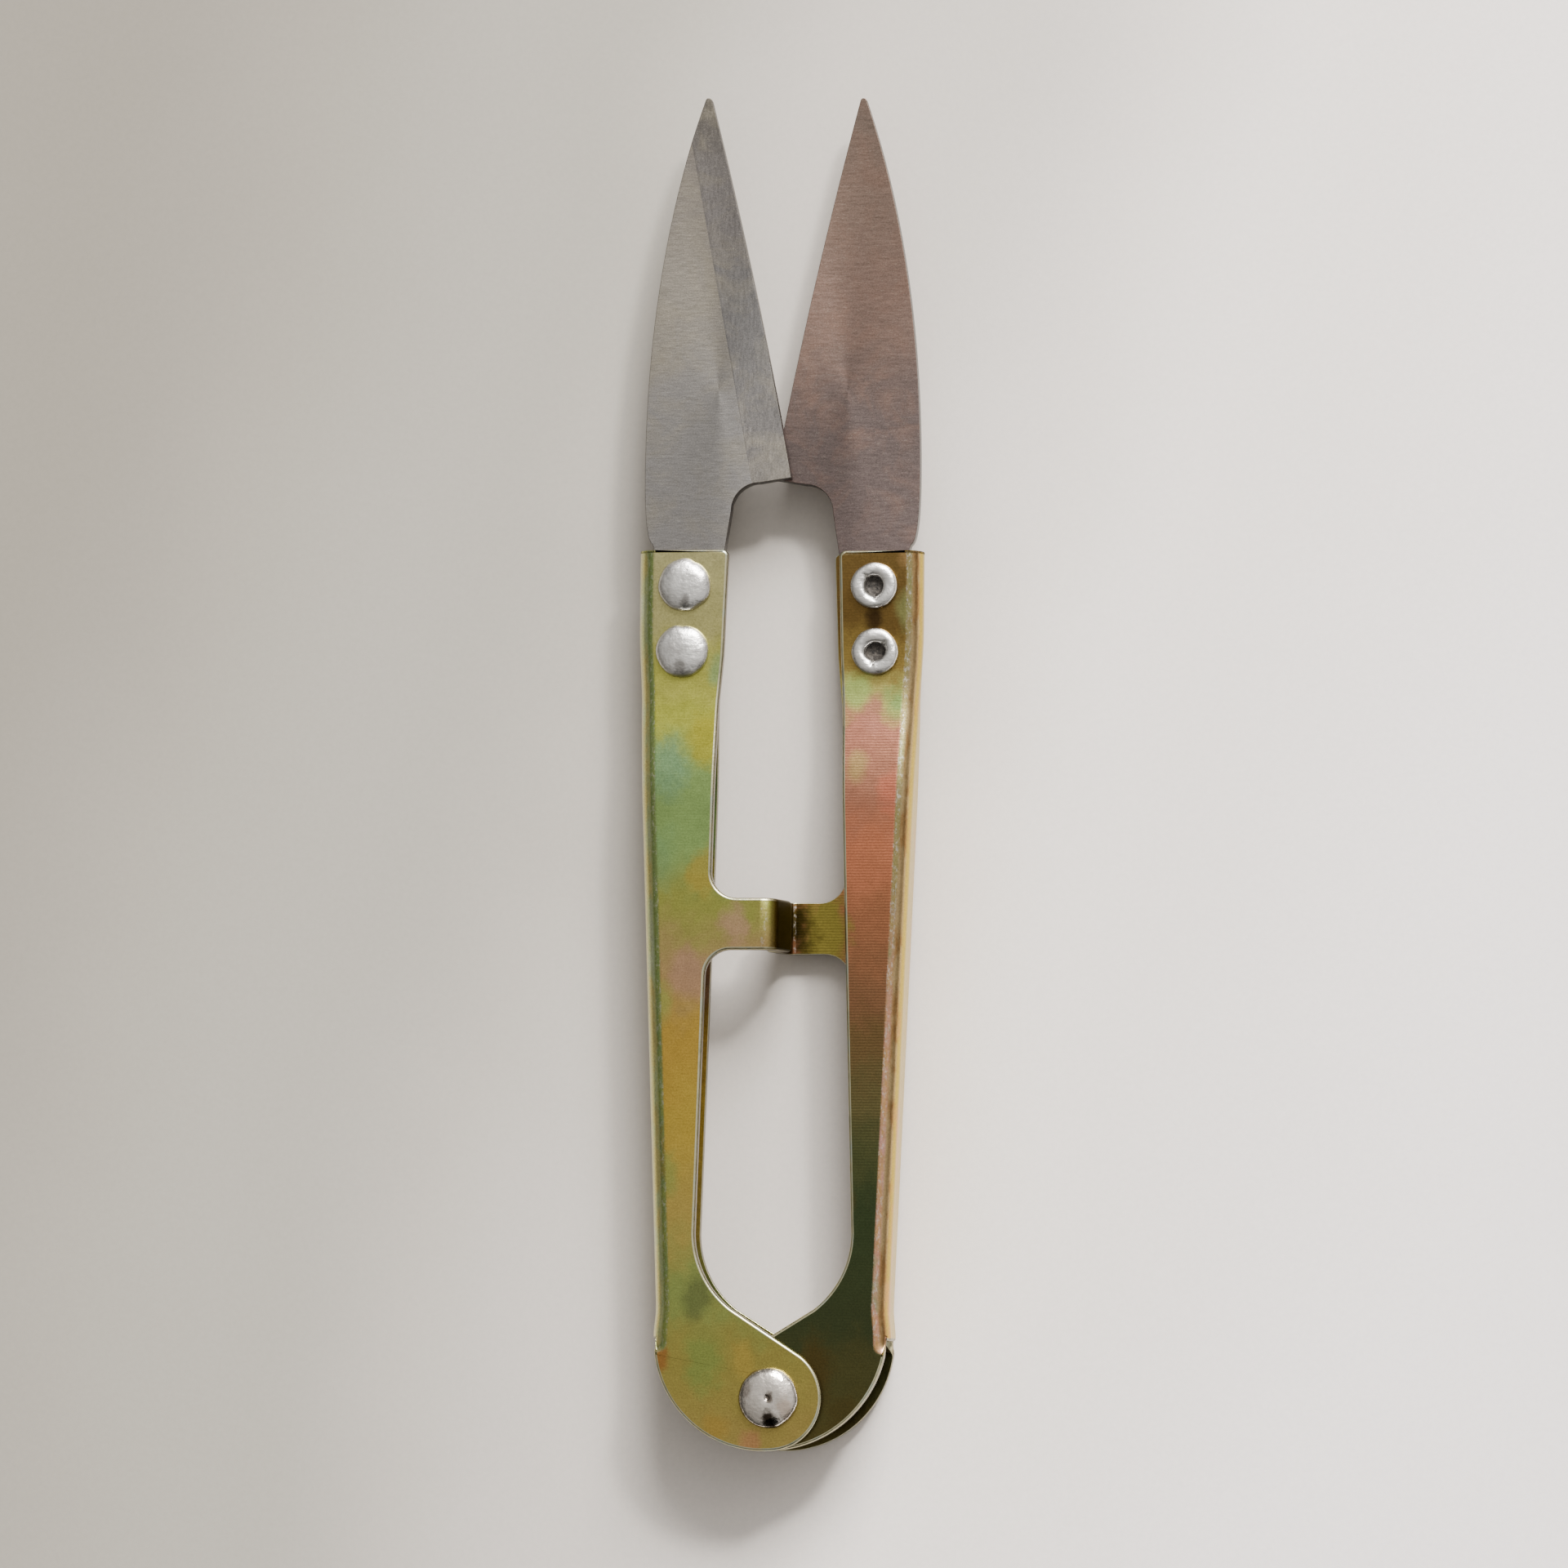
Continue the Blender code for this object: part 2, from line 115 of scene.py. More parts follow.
# Rivets
RIVET_PLACES = {"upper": (7.32, 62.52), "lower": (7.44, 57.38)}
RIVET_SHANK = 1.2
RIVET_HEAD = 2.05
RIVET_DOME = 0.9
TAIL_RING = 1.8
TAIL_BORE = 0.75
TAIL_HEIGHT = 0.7
RING_R = (TAIL_RING + TAIL_BORE) / 2
RIVET_SIDES = 72
RING_STEPS = 24
RING_START = 75
RING_SWEEP = 245
SPLITS = (0.4, 2.9)
PIVOT_HEAD = 2.3
PIVOT_DOME = 1.0
PIVOT_SHANK = 1.25
PIVOT_TAIL = 2.1
PIVOT_TAIL_HEIGHT = 0.8
PIVOT_SIDES = 96
FIT_GAP = 0.02

# Blade
BLADE = 1.2
BLADE_LIFT = 0.03
TIP_Y = LENGTH + (cad_low.y - PIVOT.y) / MM
TIP_RADIUS = 0.25
TIP_U = 6.02
HEEL = (-0.75, 71.0)
EDGE_BULGE = 0.27
SPINE_U = 10.68
SPINE_Y = 71.4
SPINE_POINT_HANDLE = (3.25, -9.6)
SPINE_FOOT_HANDLE = 9.6
HEEL_FOOT_Y = 70.6
NECK_U = 3.9
NECK_FILLET = 2.2
SHOULDER_HANDLES = ((10.68, 69.0), (10.6, 66.1))
TANG_OUTER_U = 9.9
TANG_TOP_Y = 65.8
TANG_END = ((9.9, 65.5), (9.9, 54.8), (5.0, 54.8), (4.75, 63.4), (4.35, 65.5))
FACET_AT_HEEL = 3.07
FACET_AT_TIP = 1.91
FACET_SLOPE = 0.105
BLADE_EDGE = 0.05

# Torsion spring
WIRE = 0.8
COIL = 2.6
COIL_PITCH = 0.84
COIL_TURNS = 2.25
COIL_START = math.radians(225.0)
POINTS_PER_TURN = 64
WIRE_SIDES = 20
LEG_U = 7.52
LEG_END_Y = 15.0
LEG_BEND = 2.0

# Plating: how much shorter a patch counts along the arm, so that it comes out longer
PATCH_LENGTH = 0.7

# Camera: high above, moved to the right and toward the pivot, and rolled a little
CAMERA_LENS = 150.0
CAMERA_DISTANCE = 0.50491
CAMERA_SIDE = math.radians(8.0)
CAMERA_DOWN = math.radians(5.4)
CAMERA_ROLL = math.radians(0.5643)
CAMERA_AIM = Vector((0.00029, -0.001197, 0.00397))

# Light: a large soft window beyond the tips and to the right, a small lamp on the same side, and
# the room, with a dark shape in the direction of whoever leans over the table
WORLD_STRENGTH = 0.9
PERSON = (0.08, -0.78, 0.62)
WINDOW_PLACE = (0.41, 1.26, 0.895)
WINDOW_SIZE = 0.8
WINDOW_POWER = 60.0
LAMP_PLACE = (0.501, 0.771, 0.771)
LAMP_SIZE = 0.14
LAMP_POWER = 10.0

# Table: half its width in metres. Its tone, painted light that falls off from the bright right to the
# darker left, drifts across a span in millimetres, along a slanted line, with soft waves of up to
# half the cloud's millimetres
TABLE_HALF = 1.5
TABLE_SPAN = 180
TABLE_SLANT = -0.25
TABLE_CLOUD = 24.0


# ---------------------------------------------------------------- node trees


class Finish:
    """A material or world node tree, built from short calls."""

    def __init__(self, owner):
        owner.use_nodes = True
        self.owner = owner
        self.tree = owner.node_tree
        self.shader = self.tree.nodes.get("Principled BSDF")

    def add(self, kind, inputs=None, **settings):
        made = self.tree.nodes.new(kind)
        for key, value in settings.items():
            setattr(made, key, value)
        for key, value in (inputs or {}).items():
            self.put(made.inputs[key], value)
        return made

    def put(self, socket, value):
        if isinstance(value, bpy.types.NodeSocket):
            self.tree.links.new(value, socket)
        elif socket.type == "RGBA":
            socket.default_value = (*value, 1.0)
        else:
            socket.default_value = value

    def set(self, **values):
        for key, value in values.items():
            self.put(self.shader.inputs[key.replace("_", " ")], value)

    def math(self, operation, a, b=0.0, c=0.0):
        return self.add("ShaderNodeMath", {0: a, 1: b, 2: c}, operation=operation).outputs[0]

    def mix(self, factor, a, b, blend="MIX"):
        made = self.add("ShaderNodeMix", data_type="RGBA", blend_type=blend)
        self.put(made.inputs[0], factor)
        self.put(made.inputs[6], a)
        self.put(made.inputs[7], b)
        return made.outputs[2]

    def ramp(self, factor, stops, interpolation="LINEAR"):
        made = self.add("ShaderNodeValToRGB", {0: factor})
        band = made.color_ramp
        band.interpolation = interpolation
        while len(band.elements) < len(stops):
            band.elements.new(0.5)
        for element, (place, colour) in zip(band.elements, stops):
            element.position = place
            element.color = (colour,) * 3 + (1.0,) if isinstance(colour, float) else (*colour, 1.0)
        return made.outputs[0]

    def noise(self, vector, scale, detail=3.0, roughness=0.5, distortion=0.0):
        inputs = {"Vector": vector, "Scale": scale, "Detail": detail}
        inputs.update({"Roughness": roughness, "Distortion": distortion})
        return self.add("ShaderNodeTexNoise", inputs).outputs[0]

    def stretch(self, vector, scale):
        made = self.add("ShaderNodeMapping", {"Vector": vector, "Scale": scale})
        return made.outputs[0]

    def split(self, vector):
        return self.add("ShaderNodeSeparateXYZ", {0: vector}).outputs

    def along(self, vector, direction):
        """How far a vector points in a direction."""
        made = self.add("ShaderNodeVectorMath", {0: vector, 1: direction}, operation="DOT_PRODUCT")
        return made.outputs["Value"]

    def millimetres(self):
        """Object coordinates in millimetres from the pivot."""
        place = self.add("ShaderNodeTexCoord").outputs["Object"]
        moved = self.add("ShaderNodeVectorMath", {0: place, 1: PIVOT}, operation="SUBTRACT").outputs[0]
        scaled = self.add("ShaderNodeVectorMath", {0: moved, 1: (1 / MM,) * 3}, operation="MULTIPLY")
        return scaled.outputs[0]

    def ramp_along(self, y, stops):
        """A colour ramp with its stops in millimetres from the pivot toward the tips."""
        low = stops[0][0]
        span = stops[-1][0] - low
        factor = self.math("MULTIPLY_ADD", y, 1 / span, -low / span)
        return self.ramp(factor, [((at - low) / span, colour) for at, colour in stops], "EASE")

    def spot(self, place, centre, radius, ragged, strength):
        """A soft ragged patch, longer along the arm than across it."""
        flat = self.add("ShaderNodeVectorMath", {0: place, 1: (1.0, PATCH_LENGTH, 0.0)}, operation="MULTIPLY")
        middle = (centre[0], centre[1] * PATCH_LENGTH, 0.0)
        away = self.add("ShaderNodeVectorMath", {0: flat.outputs[0], 1: middle}, operation="DISTANCE")
        share = self.math("MULTIPLY_ADD", ragged, 1.6, -0.8)
        share = self.math("MULTIPLY_ADD", away.outputs["Value"], 1 / radius, share)
        return self.ramp(share, ((0.35, strength), (1.0, 0.0)), "EASE")

    def bump(self, height, depth, before=None):
        inputs = {"Height": height, "Distance": depth, "Strength": 1.0}
        if before is not None:
            inputs["Normal"] = before
        return self.add("ShaderNodeBump", inputs).outputs[0]


def finish_named(name, roughness, metallic=1.0):
    made = Finish(bpy.data.materials.new(name))
    made.set(Roughness=roughness, Metallic=metallic)
    return made


def from_srgb(red, green, blue):
    """A linear colour from display values of 0 to 255."""
    shares = [c / 255 for c in (red, green, blue)]
    return tuple(((c + 0.055) / 1.055) ** 2.4 if c > 0.04 else c / 12.92 for c in shares)


# The table's tone from the darker left to the lighter right: painted light, a pool of light on the right
TABLE_PAINTED_LIGHT = (
    (0.1, from_srgb(136, 130, 119)),
    (0.33, from_srgb(162, 157, 147)),
    (0.5, from_srgb(200, 193, 185)),
    (0.65, from_srgb(243, 235, 228)),
    (0.84, from_srgb(255, 248, 245)),
)


# ---------------------------------------------------------------- shapes


def arc(centre, radius, start, end, steps):
    angles = (start + (end - start) * k / steps for k in range(steps + 1))
    return [(centre[0] + radius * math.cos(a), centre[1] + radius * math.sin(a)) for a in angles]


def between(points, y):
    for (y0, v0), (y1, v1) in zip(points, points[1:]):
        if y <= y1:
            return v0 + (v1 - v0) * (y - y0) / (y1 - y0)
    return points[-1][1]


def smooth(t):
    t = min(max(t, 0.0), 1.0)
    return t * t * (3 - 2 * t)


def half_matrix(side):
    """From the drawn half's millimetres to the row frame. The right half is turned about the length."""
    turn = Matrix.Rotation(math.pi, 4, "Y") if side == "right" else Matrix.Identity(4)
    return Matrix.Translation(PIVOT) @ turn @ Matrix.Scale(MM, 4)


def link(name, mesh):
    obj = bpy.data.objects.new(name, mesh)
    bpy.context.scene.collection.objects.link(obj)
    return obj


def mesh_from(name, points, faces, matrix, sharp=28):
    mesh = bpy.data.meshes.new(name)
    mesh.from_pydata([tuple(p) for p in points], [], faces)
    mesh.transform(matrix)
    mesh.update()
    mesh.shade_smooth()
    mesh.set_sharp_from_angle(angle=math.radians(sharp))
    return mesh


def weigh_edges(mesh, skin_count, inside, angle=40):
    """Bevel weights: 1 along the sheet's outside edges and less along its inside ones."""
    build = bmesh.new()
    build.from_mesh(mesh)
    weights = build.edges.layers.float.new("bevel_weight_edge")
    for edge in build.edges:
        if edge.calc_face_angle(0.0) < math.radians(angle):
            continue
        outside = all(vert.index < skin_count for vert in edge.verts)
        edge[weights] = 1.0 if outside else inside
    build.to_mesh(mesh)
    build.free()


def round_edges(obj, width, segments=3, angle=40, edge_slot=None, weighed=False):
    bevel = obj.modifiers.new("edges", "BEVEL")
    bevel.width = width * MM
    bevel.loop_slide = False
    bevel.segments = segments
    bevel.limit_method = "WEIGHT" if weighed else "ANGLE"
    bevel.angle_limit = math.radians(angle)
    bevel.use_clamp_overlap = False
    if edge_slot is not None:
        bevel.material = edge_slot
    weighted = obj.modifiers.new("flat faces", "WEIGHTED_NORMAL")
    weighted.keep_sharp = False
    weighted.weight = 60


def pad_u(y):
    straight = PAD_FOOT_U + PAD_SLOPE * (y - FOLD_END_Y)
    flare = FOLD_FLARE * (1 - smooth((y - FOLD_END_Y) / FLARE_LENGTH))
    if y <= PAD_END_Y:
        return straight + flare
    start = PAD_FOOT_U + PAD_SLOPE * (PAD_END_Y - FOLD_END_Y)
    return start + (GRIP_U - start) * smooth((y - PAD_END_Y) / (GRIP_FULL_Y - PAD_END_Y))


def level(y, wide, pinched):
    return wide + (pinched - wide) * smooth((y - RAMP_START_Y) / (RAMP_END_Y - RAMP_START_Y))


def corner_inset(y):
    """How far the plates' edges step outward in the round corner at the arm's end."""
    above = y - (ARM_END_Y - ARM_CORNER)
    if above <= 0:
        return 0.0
    return ARM_CORNER - math.sqrt(max(ARM_CORNER**2 - above**2, 0.0))


def lobe_circle(widest_y):
    """Centre U and radius of the arc of a lobe's outer side."""
    radius = (LOBE_WIDEST_U**2 - LOBE**2 + widest_y**2) / (2 * (LOBE_WIDEST_U - LOBE))
    return LOBE_WIDEST_U - radius, radius


def lobe_outline(widest_y, plate_edge):
    """From the window's edge round the pivot and up the outer side, to the fold's lip."""
    foot_y = plate_edge[0][0]
    inner_u = plate_edge[0][1]
    centre_u, radius = lobe_circle(widest_y)
    meeting = math.atan2(-widest_y, -centre_u) + 2 * math.pi
    top = math.asin((FOLD_END_Y - LIP_LENGTH - widest_y) / radius) + 2 * math.pi
    points = arc((inner_u - FOOT_FILLET, foot_y), FOOT_FILLET, 0.0, FOOT_SLANT - math.pi / 2, 20)
    points += arc((0.0, 0.0), LOBE, math.pi / 2 + FOOT_SLANT, meeting, 32)
    points += arc((centre_u, widest_y), radius, meeting, top, 36)[1:-1]
    return points


def lip_rows(widest_y, depth, top, facing):
    """Rows that carry the bend at the fold's end over into the flat lobe, within a short length."""
    centre_u, circle = lobe_circle(widest_y)
    fold_u = pad_u(FOLD_END_Y) - BEND
    radius = BEND - depth
    rows = []
    for step in range(1, LIP_STEPS + 1):
        y = FOLD_END_Y - LIP_LENGTH * step / LIP_STEPS
        bent = 1 - smooth(step / LIP_STEPS)
        width = centre_u + math.sqrt(circle**2 - (y - widest_y) ** 2) - fold_u
        row = []
        for column in range(LIP_COLUMNS + 1):
            angle = math.pi / 2 * column / BEND_STEPS
            u = bent * radius * math.sin(angle) + (1 - bent) * width * column / LIP_COLUMNS
            drop = bent * radius * (1 - math.cos(angle))
            row.append((fold_u + u, y, top - facing * (depth + drop)))
        rows.append(row)
    return rows


def station_heights():
    heights = [FOLD_END_Y + FLARE_LENGTH * k / 6 for k in range(7)]
    foot_rows = len(heights)
    heights += [OUTER_PLATE_EDGE[0][0], TAB_LOW_Y - TAB_FILLET, TAB_HIGH_Y + TAB_FILLET]
    ramp = RAMP_END_Y - RAMP_START_Y
    heights += [RAMP_START_Y + ramp * k / RAMP_STEPS for k in range(RAMP_STEPS + 1)]
    heights += [GRIP_FULL_Y - 2.2, GRIP_FULL_Y - 1.1, GRIP_FULL_Y]
    corner = ARM_END_Y - ARM_CORNER
    heights += [corner + ARM_CORNER * math.sin(math.pi / 2 * k / 5) for k in range(6)]
    return heights, foot_rows


def fold_row(y, depth):
    top = level(y, OUTER_LEVEL, OUTER_GRIP_LEVEL)
    low = level(y, INNER_LEVEL, INNER_GRIP_LEVEL)
    centre = pad_u(y) - BEND
    radius = BEND - depth
    quarter = math.pi / 2
    inset = corner_inset(y)
    row = [(between(OUTER_PLATE_EDGE, y) + inset, y, top - depth)]
    row += [(u, y, z) for u, z in arc((centre, top - BEND), radius, quarter, 0.0, BEND_STEPS)]
    row += [(u, y, z) for u, z in arc((centre, low + BEND), radius, 0.0, -quarter, BEND_STEPS)]
    row.append((between(INNER_PLATE_EDGE, y) + inset, y, low + depth))
    return row


def arm_skin(depth):
    points = []
    faces = []

    def put(u, y, z):
        points.append((-u, y, z))
        return len(points) - 1

    heights, foot = station_heights()
    rows = [[put(*p) for p in fold_row(y, depth)] for y in heights]
    last = len(rows[0]) - 1
    for number, (low, high) in enumerate(zip(rows, rows[1:])):
        columns = range(1, last - 1) if number < foot else range(last)
        faces += [(low[k], high[k], high[k + 1], low[k + 1]) for k in columns]

    plates = (
        (OUTER_LOBE_Y, OUTER_PLATE_EDGE, OUTER_LEVEL, 1, 0, lambda k: 1 + k),
        (INNER_LOBE_Y, INNER_PLATE_EDGE, INNER_LEVEL, -1, last, lambda k: last - 1 - k),
    )
    for widest_y, plate_edge, surface, facing, edge, column in plates:
        above = [rows[0][column(k)] for k in range(LIP_COLUMNS + 1)]
        folds = [rows[k][column(0)] for k in range(foot, -1, -1)]
        for lip in lip_rows(widest_y, depth, surface, facing):
            below = [put(*p) for p in lip]
            for k in range(LIP_COLUMNS):
                quad = (below[k], above[k], above[k + 1], below[k + 1])
                faces.append(quad if facing > 0 else tuple(reversed(quad)))
            folds.append(below[0])
            above = below
        outline = lobe_outline(widest_y, plate_edge)
        z = surface - facing * depth
        lobe = [rows[foot][edge]] + [put(u, y, z) for u, y in outline[1:]]
        face = (*folds, *above[1:], *reversed(lobe))
        faces.append(face if facing > 0 else tuple(reversed(face)))

    outer_z = OUTER_LEVEL - depth
    faces += tab_faces(rows[foot + 1][0], rows[foot + 2][0], put, outer_z, depth)
    used = sorted({index for face in faces for index in face})
    new = {old: index for index, old in enumerate(used)}
    return [points[k] for k in used], [tuple(new[k] for k in face) for face in faces]


def tab_faces(low_corner, high_corner, put, z, depth):
    low_y = TAB_LOW_Y - TAB_FILLET
    high_y = TAB_HIGH_Y + TAB_FILLET
    low_u = between(OUTER_PLATE_EDGE, low_y) - TAB_FILLET
    high_u = between(OUTER_PLATE_EDGE, high_y) - TAB_FILLET
    low_arc = arc((low_u, low_y), TAB_FILLET, 0.0, math.pi / 2, 14)
    high_arc = arc((high_u, high_y), TAB_FILLET, -math.pi / 2, 0.0, 14)
    low = [low_corner] + [put(u, y, z) for u, y in low_arc[1:]]
    high = [put(u, y, z) for u, y in high_arc[:-1]] + [high_corner]
    centre = (TAB_BEND_U, z + depth - TAB_BEND)
    bend = arc(centre, TAB_BEND - depth, math.pi / 2, math.pi / 2 + TAB_ANGLE, 14)
    fall = bend[-1][1] - HOOK_END_Z - depth * math.cos(TAB_ANGLE)
    lean = 1 / math.tan(TAB_ANGLE)
    foot = bend[-1]
    straight = []
    for k in range(6):
        drop = fall - HOOK_CORNER * (1 - math.sin(math.pi / 2 * k / 5))
        inset = HOOK_CORNER * (1 - math.cos(math.pi / 2 * k / 5))
        straight.append((foot[0] - drop * lean, foot[1] - drop, inset))
    line = [(u, w, 0.0) for u, w in bend] + straight
    low_side = [put(u, TAB_LOW_Y + inset, w) for u, w, inset in line]
    high_side = [put(u, TAB_HIGH_Y - inset, w) for u, w, inset in line]
    faces = [(*low, low_side[0], high_side[0], *high)]
    for k in range(len(line) - 1):
        faces.append((low_side[k], low_side[k + 1], high_side[k + 1], high_side[k]))
    return faces


def sheet_solid(skin):
    outer, faces = skin(0.0)
    inner, _ = skin(SHEET)
    count = len(outer)
    directed = {(face[k - 1], face[k]) for face in faces for k in range(len(face))}
    solid = list(faces) + [tuple(reversed([k + count for k in face])) for face in faces]
    for a, b in sorted(directed):
        if (b, a) not in directed:
            solid.append((b, a, a + count, b + count))
    return outer + inner, solid


def bezier(p0, p1, p2, p3, steps):
    curve = []
    for k in range(steps + 1):
        t = k / steps
        weights = ((1 - t) ** 3, 3 * t * (1 - t) ** 2, 3 * t * t * (1 - t), t**3)
        curve.append(tuple(sum(w * p[i] for w, p in zip(weights, (p0, p1, p2, p3))) for i in (0, 1)))
    return curve


def blade_outline():
    tip = (TIP_U, TIP_Y - TIP_RADIUS)
    point = arc(tip, TIP_RADIUS, math.radians(165), math.radians(15), 10)
    edge = []
    steps = 40
    for k in range(steps):
        t = k / steps
        u = HEEL[0] + (point[0][0] - HEEL[0]) * t - 4 * EDGE_BULGE * t * (1 - t)
        edge.append((u, HEEL[1] + (point[0][1] - HEEL[1]) * t))
    start = point[-1]
    first = (start[0] + SPINE_POINT_HANDLE[0], start[1] + SPINE_POINT_HANDLE[1])
    spine = bezier(start, first, (SPINE_U, SPINE_Y + SPINE_FOOT_HANDLE), (SPINE_U, SPINE_Y), 40)
    shoulder = bezier(spine[-1], *SHOULDER_HANDLES, (TANG_OUTER_U + 0.1, TANG_TOP_Y), 10)
    neck = arc((NECK_U - NECK_FILLET, HEEL_FOOT_Y - NECK_FILLET), NECK_FILLET, 0.0, math.pi / 2, 18)
    return edge + point + spine[1:] + shoulder[1:] + list(TANG_END) + neck


def blade_mesh(name, matrix):
    """A flat blade with a wide shallow facet along its cutting edge, on the side away from its mate."""
    outline = [(-u, y) for u, y in blade_outline()]
    low = BLADE_LIFT
    build = bmesh.new()
    bottom = [build.verts.new((x, y, low)) for x, y in outline]
    top = [build.verts.new((x, y, low + BLADE)) for x, y in outline]
    count = len(outline)
    build.faces.new(top)
    build.faces.new(list(reversed(bottom)))
    for k in range(count):
        after = (k + 1) % count
        build.faces.new((bottom[k], bottom[after], top[after], top[k]))
    full = low + BLADE
    heel = Vector((-HEEL[0], HEEL[1], full - FACET_AT_HEEL * FACET_SLOPE))
    along = Vector((-TIP_U, TIP_Y, full - FACET_AT_TIP * FACET_SLOPE)) - heel
    across = Vector((-along.y, along.x, 0.0)).normalized() * FACET_AT_HEEL
    across.z = full - heel.z
    normal = along.cross(across)
    if normal.z < 0:
        normal.negate()
    everything = build.verts[:] + build.edges[:] + build.faces[:]
    bmesh.ops.bisect_plane(build, geom=everything, plane_co=heel, plane_no=normal, clear_outer=True)
    bmesh.ops.holes_fill(build, edges=[edge for edge in build.edges if edge.is_boundary])
    bmesh.ops.recalc_face_normals(build, faces=build.faces[:])
    ground = normal.normalized()
    for face in build.faces:
        face.smooth = True
        face.material_index = int(face.normal.dot(ground) > 0.9999)
    for edge in build.edges:
        edge.smooth = len({face.material_index for face in edge.link_faces}) == 1
    mesh = bpy.data.meshes.new(name)
    build.to_mesh(mesh)
    build.free()
    mesh.transform(matrix)
    return mesh


def turned(profile, sides):
    """A closed turned solid from an (R, Z) profile from top to bottom."""
    points = [Vector((0.0, 0.0, profile[0][1]))]
    for r, z in profile[1:-1]:
        ring = arc((0.0, 0.0), r, 0.0, 2 * math.pi, sides)[:-1]
        points += [Vector((x, y, z)) for x, y in ring]
    points.append(Vector((0.0, 0.0, profile[-1][1])))
    last = len(points) - 1
    rings = len(profile) - 2
    faces = []
    for k in range(sides):
        after = (k + 1) % sides
        faces.append((0, 1 + k, 1 + after))
        for ring in range(rings - 1):
            above = 1 + ring * sides
            below = above + sides
            faces.append((above + k, below + k, below + after, above + after))
        bottom = 1 + (rings - 1) * sides
        faces.append((bottom + k, last, bottom + after))
    return points, faces


def domed_head(radius, height, base, flatness=2.4, steps=16):
    """Profile of a domed head with a slightly flattened crown and a small round rim."""
    rim = base + 0.16
    dome = []
    for k in range(steps + 1):
        t = k / steps
        r = radius * math.sin(math.pi / 2 * t)
        share = max(1 - (r / radius) ** flatness, 0.0) ** (1 / 1.9)
        dome.append((r, rim + (height - 0.16) * share))
    return dome + [(radius - 0.01, base + 0.06), (radius - 0.07, base)]


# ---------------------------------------------------------------- finishes


# Colours of the film, as (Y, tone) along the arm, and patches of it, as (centre, radius, tone,
# strength). All are in millimetres from the pivot, in the row frame's X and Y. The tones are partly
# the film's own colours and partly painted reflections of the room, dark where dark surroundings
# would mirror in the plates.
LEFT_ALONG = (
    (-5.0, from_srgb(150, 131, 72)),
    (3.0, from_srgb(144, 133, 68)),
    (8.0, from_srgb(130, 141, 77)),
    (14.0, from_srgb(163, 142, 74)),
    (21.0, from_srgb(172, 146, 63)),
    (27.0, from_srgb(168, 137, 61)),
    (33.0, from_srgb(158, 133, 88)),
    (38.0, from_srgb(140, 141, 70)),
    (43.0, from_srgb(130, 156, 92)),
    (48.0, from_srgb(118, 141, 83)),
    (52.5, from_srgb(148, 150, 63)),
    (55.5, from_srgb(162, 161, 77)),
    (60.0, from_srgb(166, 160, 106)),
    (66.0, from_srgb(166, 160, 113)),
)
LEFT_PATCHES = (
    ((-8.4, 48.2), 2.1, from_srgb(104, 136, 102), 0.7),
    ((-9.2, 41.5), 2.4, from_srgb(116, 148, 98), 0.6),
    ((-5.4, 50.6), 2.0, from_srgb(146, 140, 48), 0.85),
    ((-4.6, 55.8), 1.2, from_srgb(136, 164, 110), 0.7),
    ((-5.4, 40.0), 1.7, from_srgb(164, 144, 63), 0.7),
    ((-3.0, 36.4), 1.6, from_srgb(172, 137, 110), 0.75),
    ((-6.4, 32.6), 2.0, from_srgb(166, 129, 106), 0.7),
    ((-8.9, 30.0), 1.4, from_srgb(142, 150, 77), 0.7),
    ((-8.2, 17.0), 1.6, from_srgb(136, 146, 77), 0.7),
    ((-5.8, 7.4), 1.5, from_srgb(100, 107, 63), 0.85),
    ((-5.0, 2.6), 2.2, from_srgb(120, 138, 72), 0.7),
    ((-2.0, 2.8), 1.3, from_srgb(168, 144, 68), 0.6),
    ((-8.3, 3.1), 0.95, from_srgb(142, 94, 50), 0.8),
    ((-1.4, -3.6), 1.1, from_srgb(164, 119, 81), 0.8),
    ((-4.2, -2.6), 1.4, from_srgb(160, 131, 61), 0.6),
)
RIGHT_ALONG = (
    # painted reflection: the dark tones up to about 14 mm stand for dark surroundings mirrored near the pivot
    (-5.0, from_srgb(82, 72, 38)),
    (2.0, from_srgb(74, 72, 42)),
    (6.0, from_srgb(60, 66, 42)),
    (14.0, from_srgb(58, 68, 43)),
    (19.0, from_srgb(80, 82, 51)),
    (22.5, from_srgb(98, 90, 57)),
    (27.0, from_srgb(110, 88, 57)),
    (31.0, from_srgb(128, 92, 65)),
    (36.0, from_srgb(153, 102, 72)),
    (42.0, from_srgb(188, 117, 85)),
    (47.0, from_srgb(168, 115, 92)),
    (51.5, from_srgb(168, 112, 92)),
    (54.2, from_srgb(174, 166, 94)),
    (56.5, from_srgb(140, 118, 62)),
    (60.0, from_srgb(104, 82, 44)),
    (66.0, from_srgb(112, 90, 50)),
)
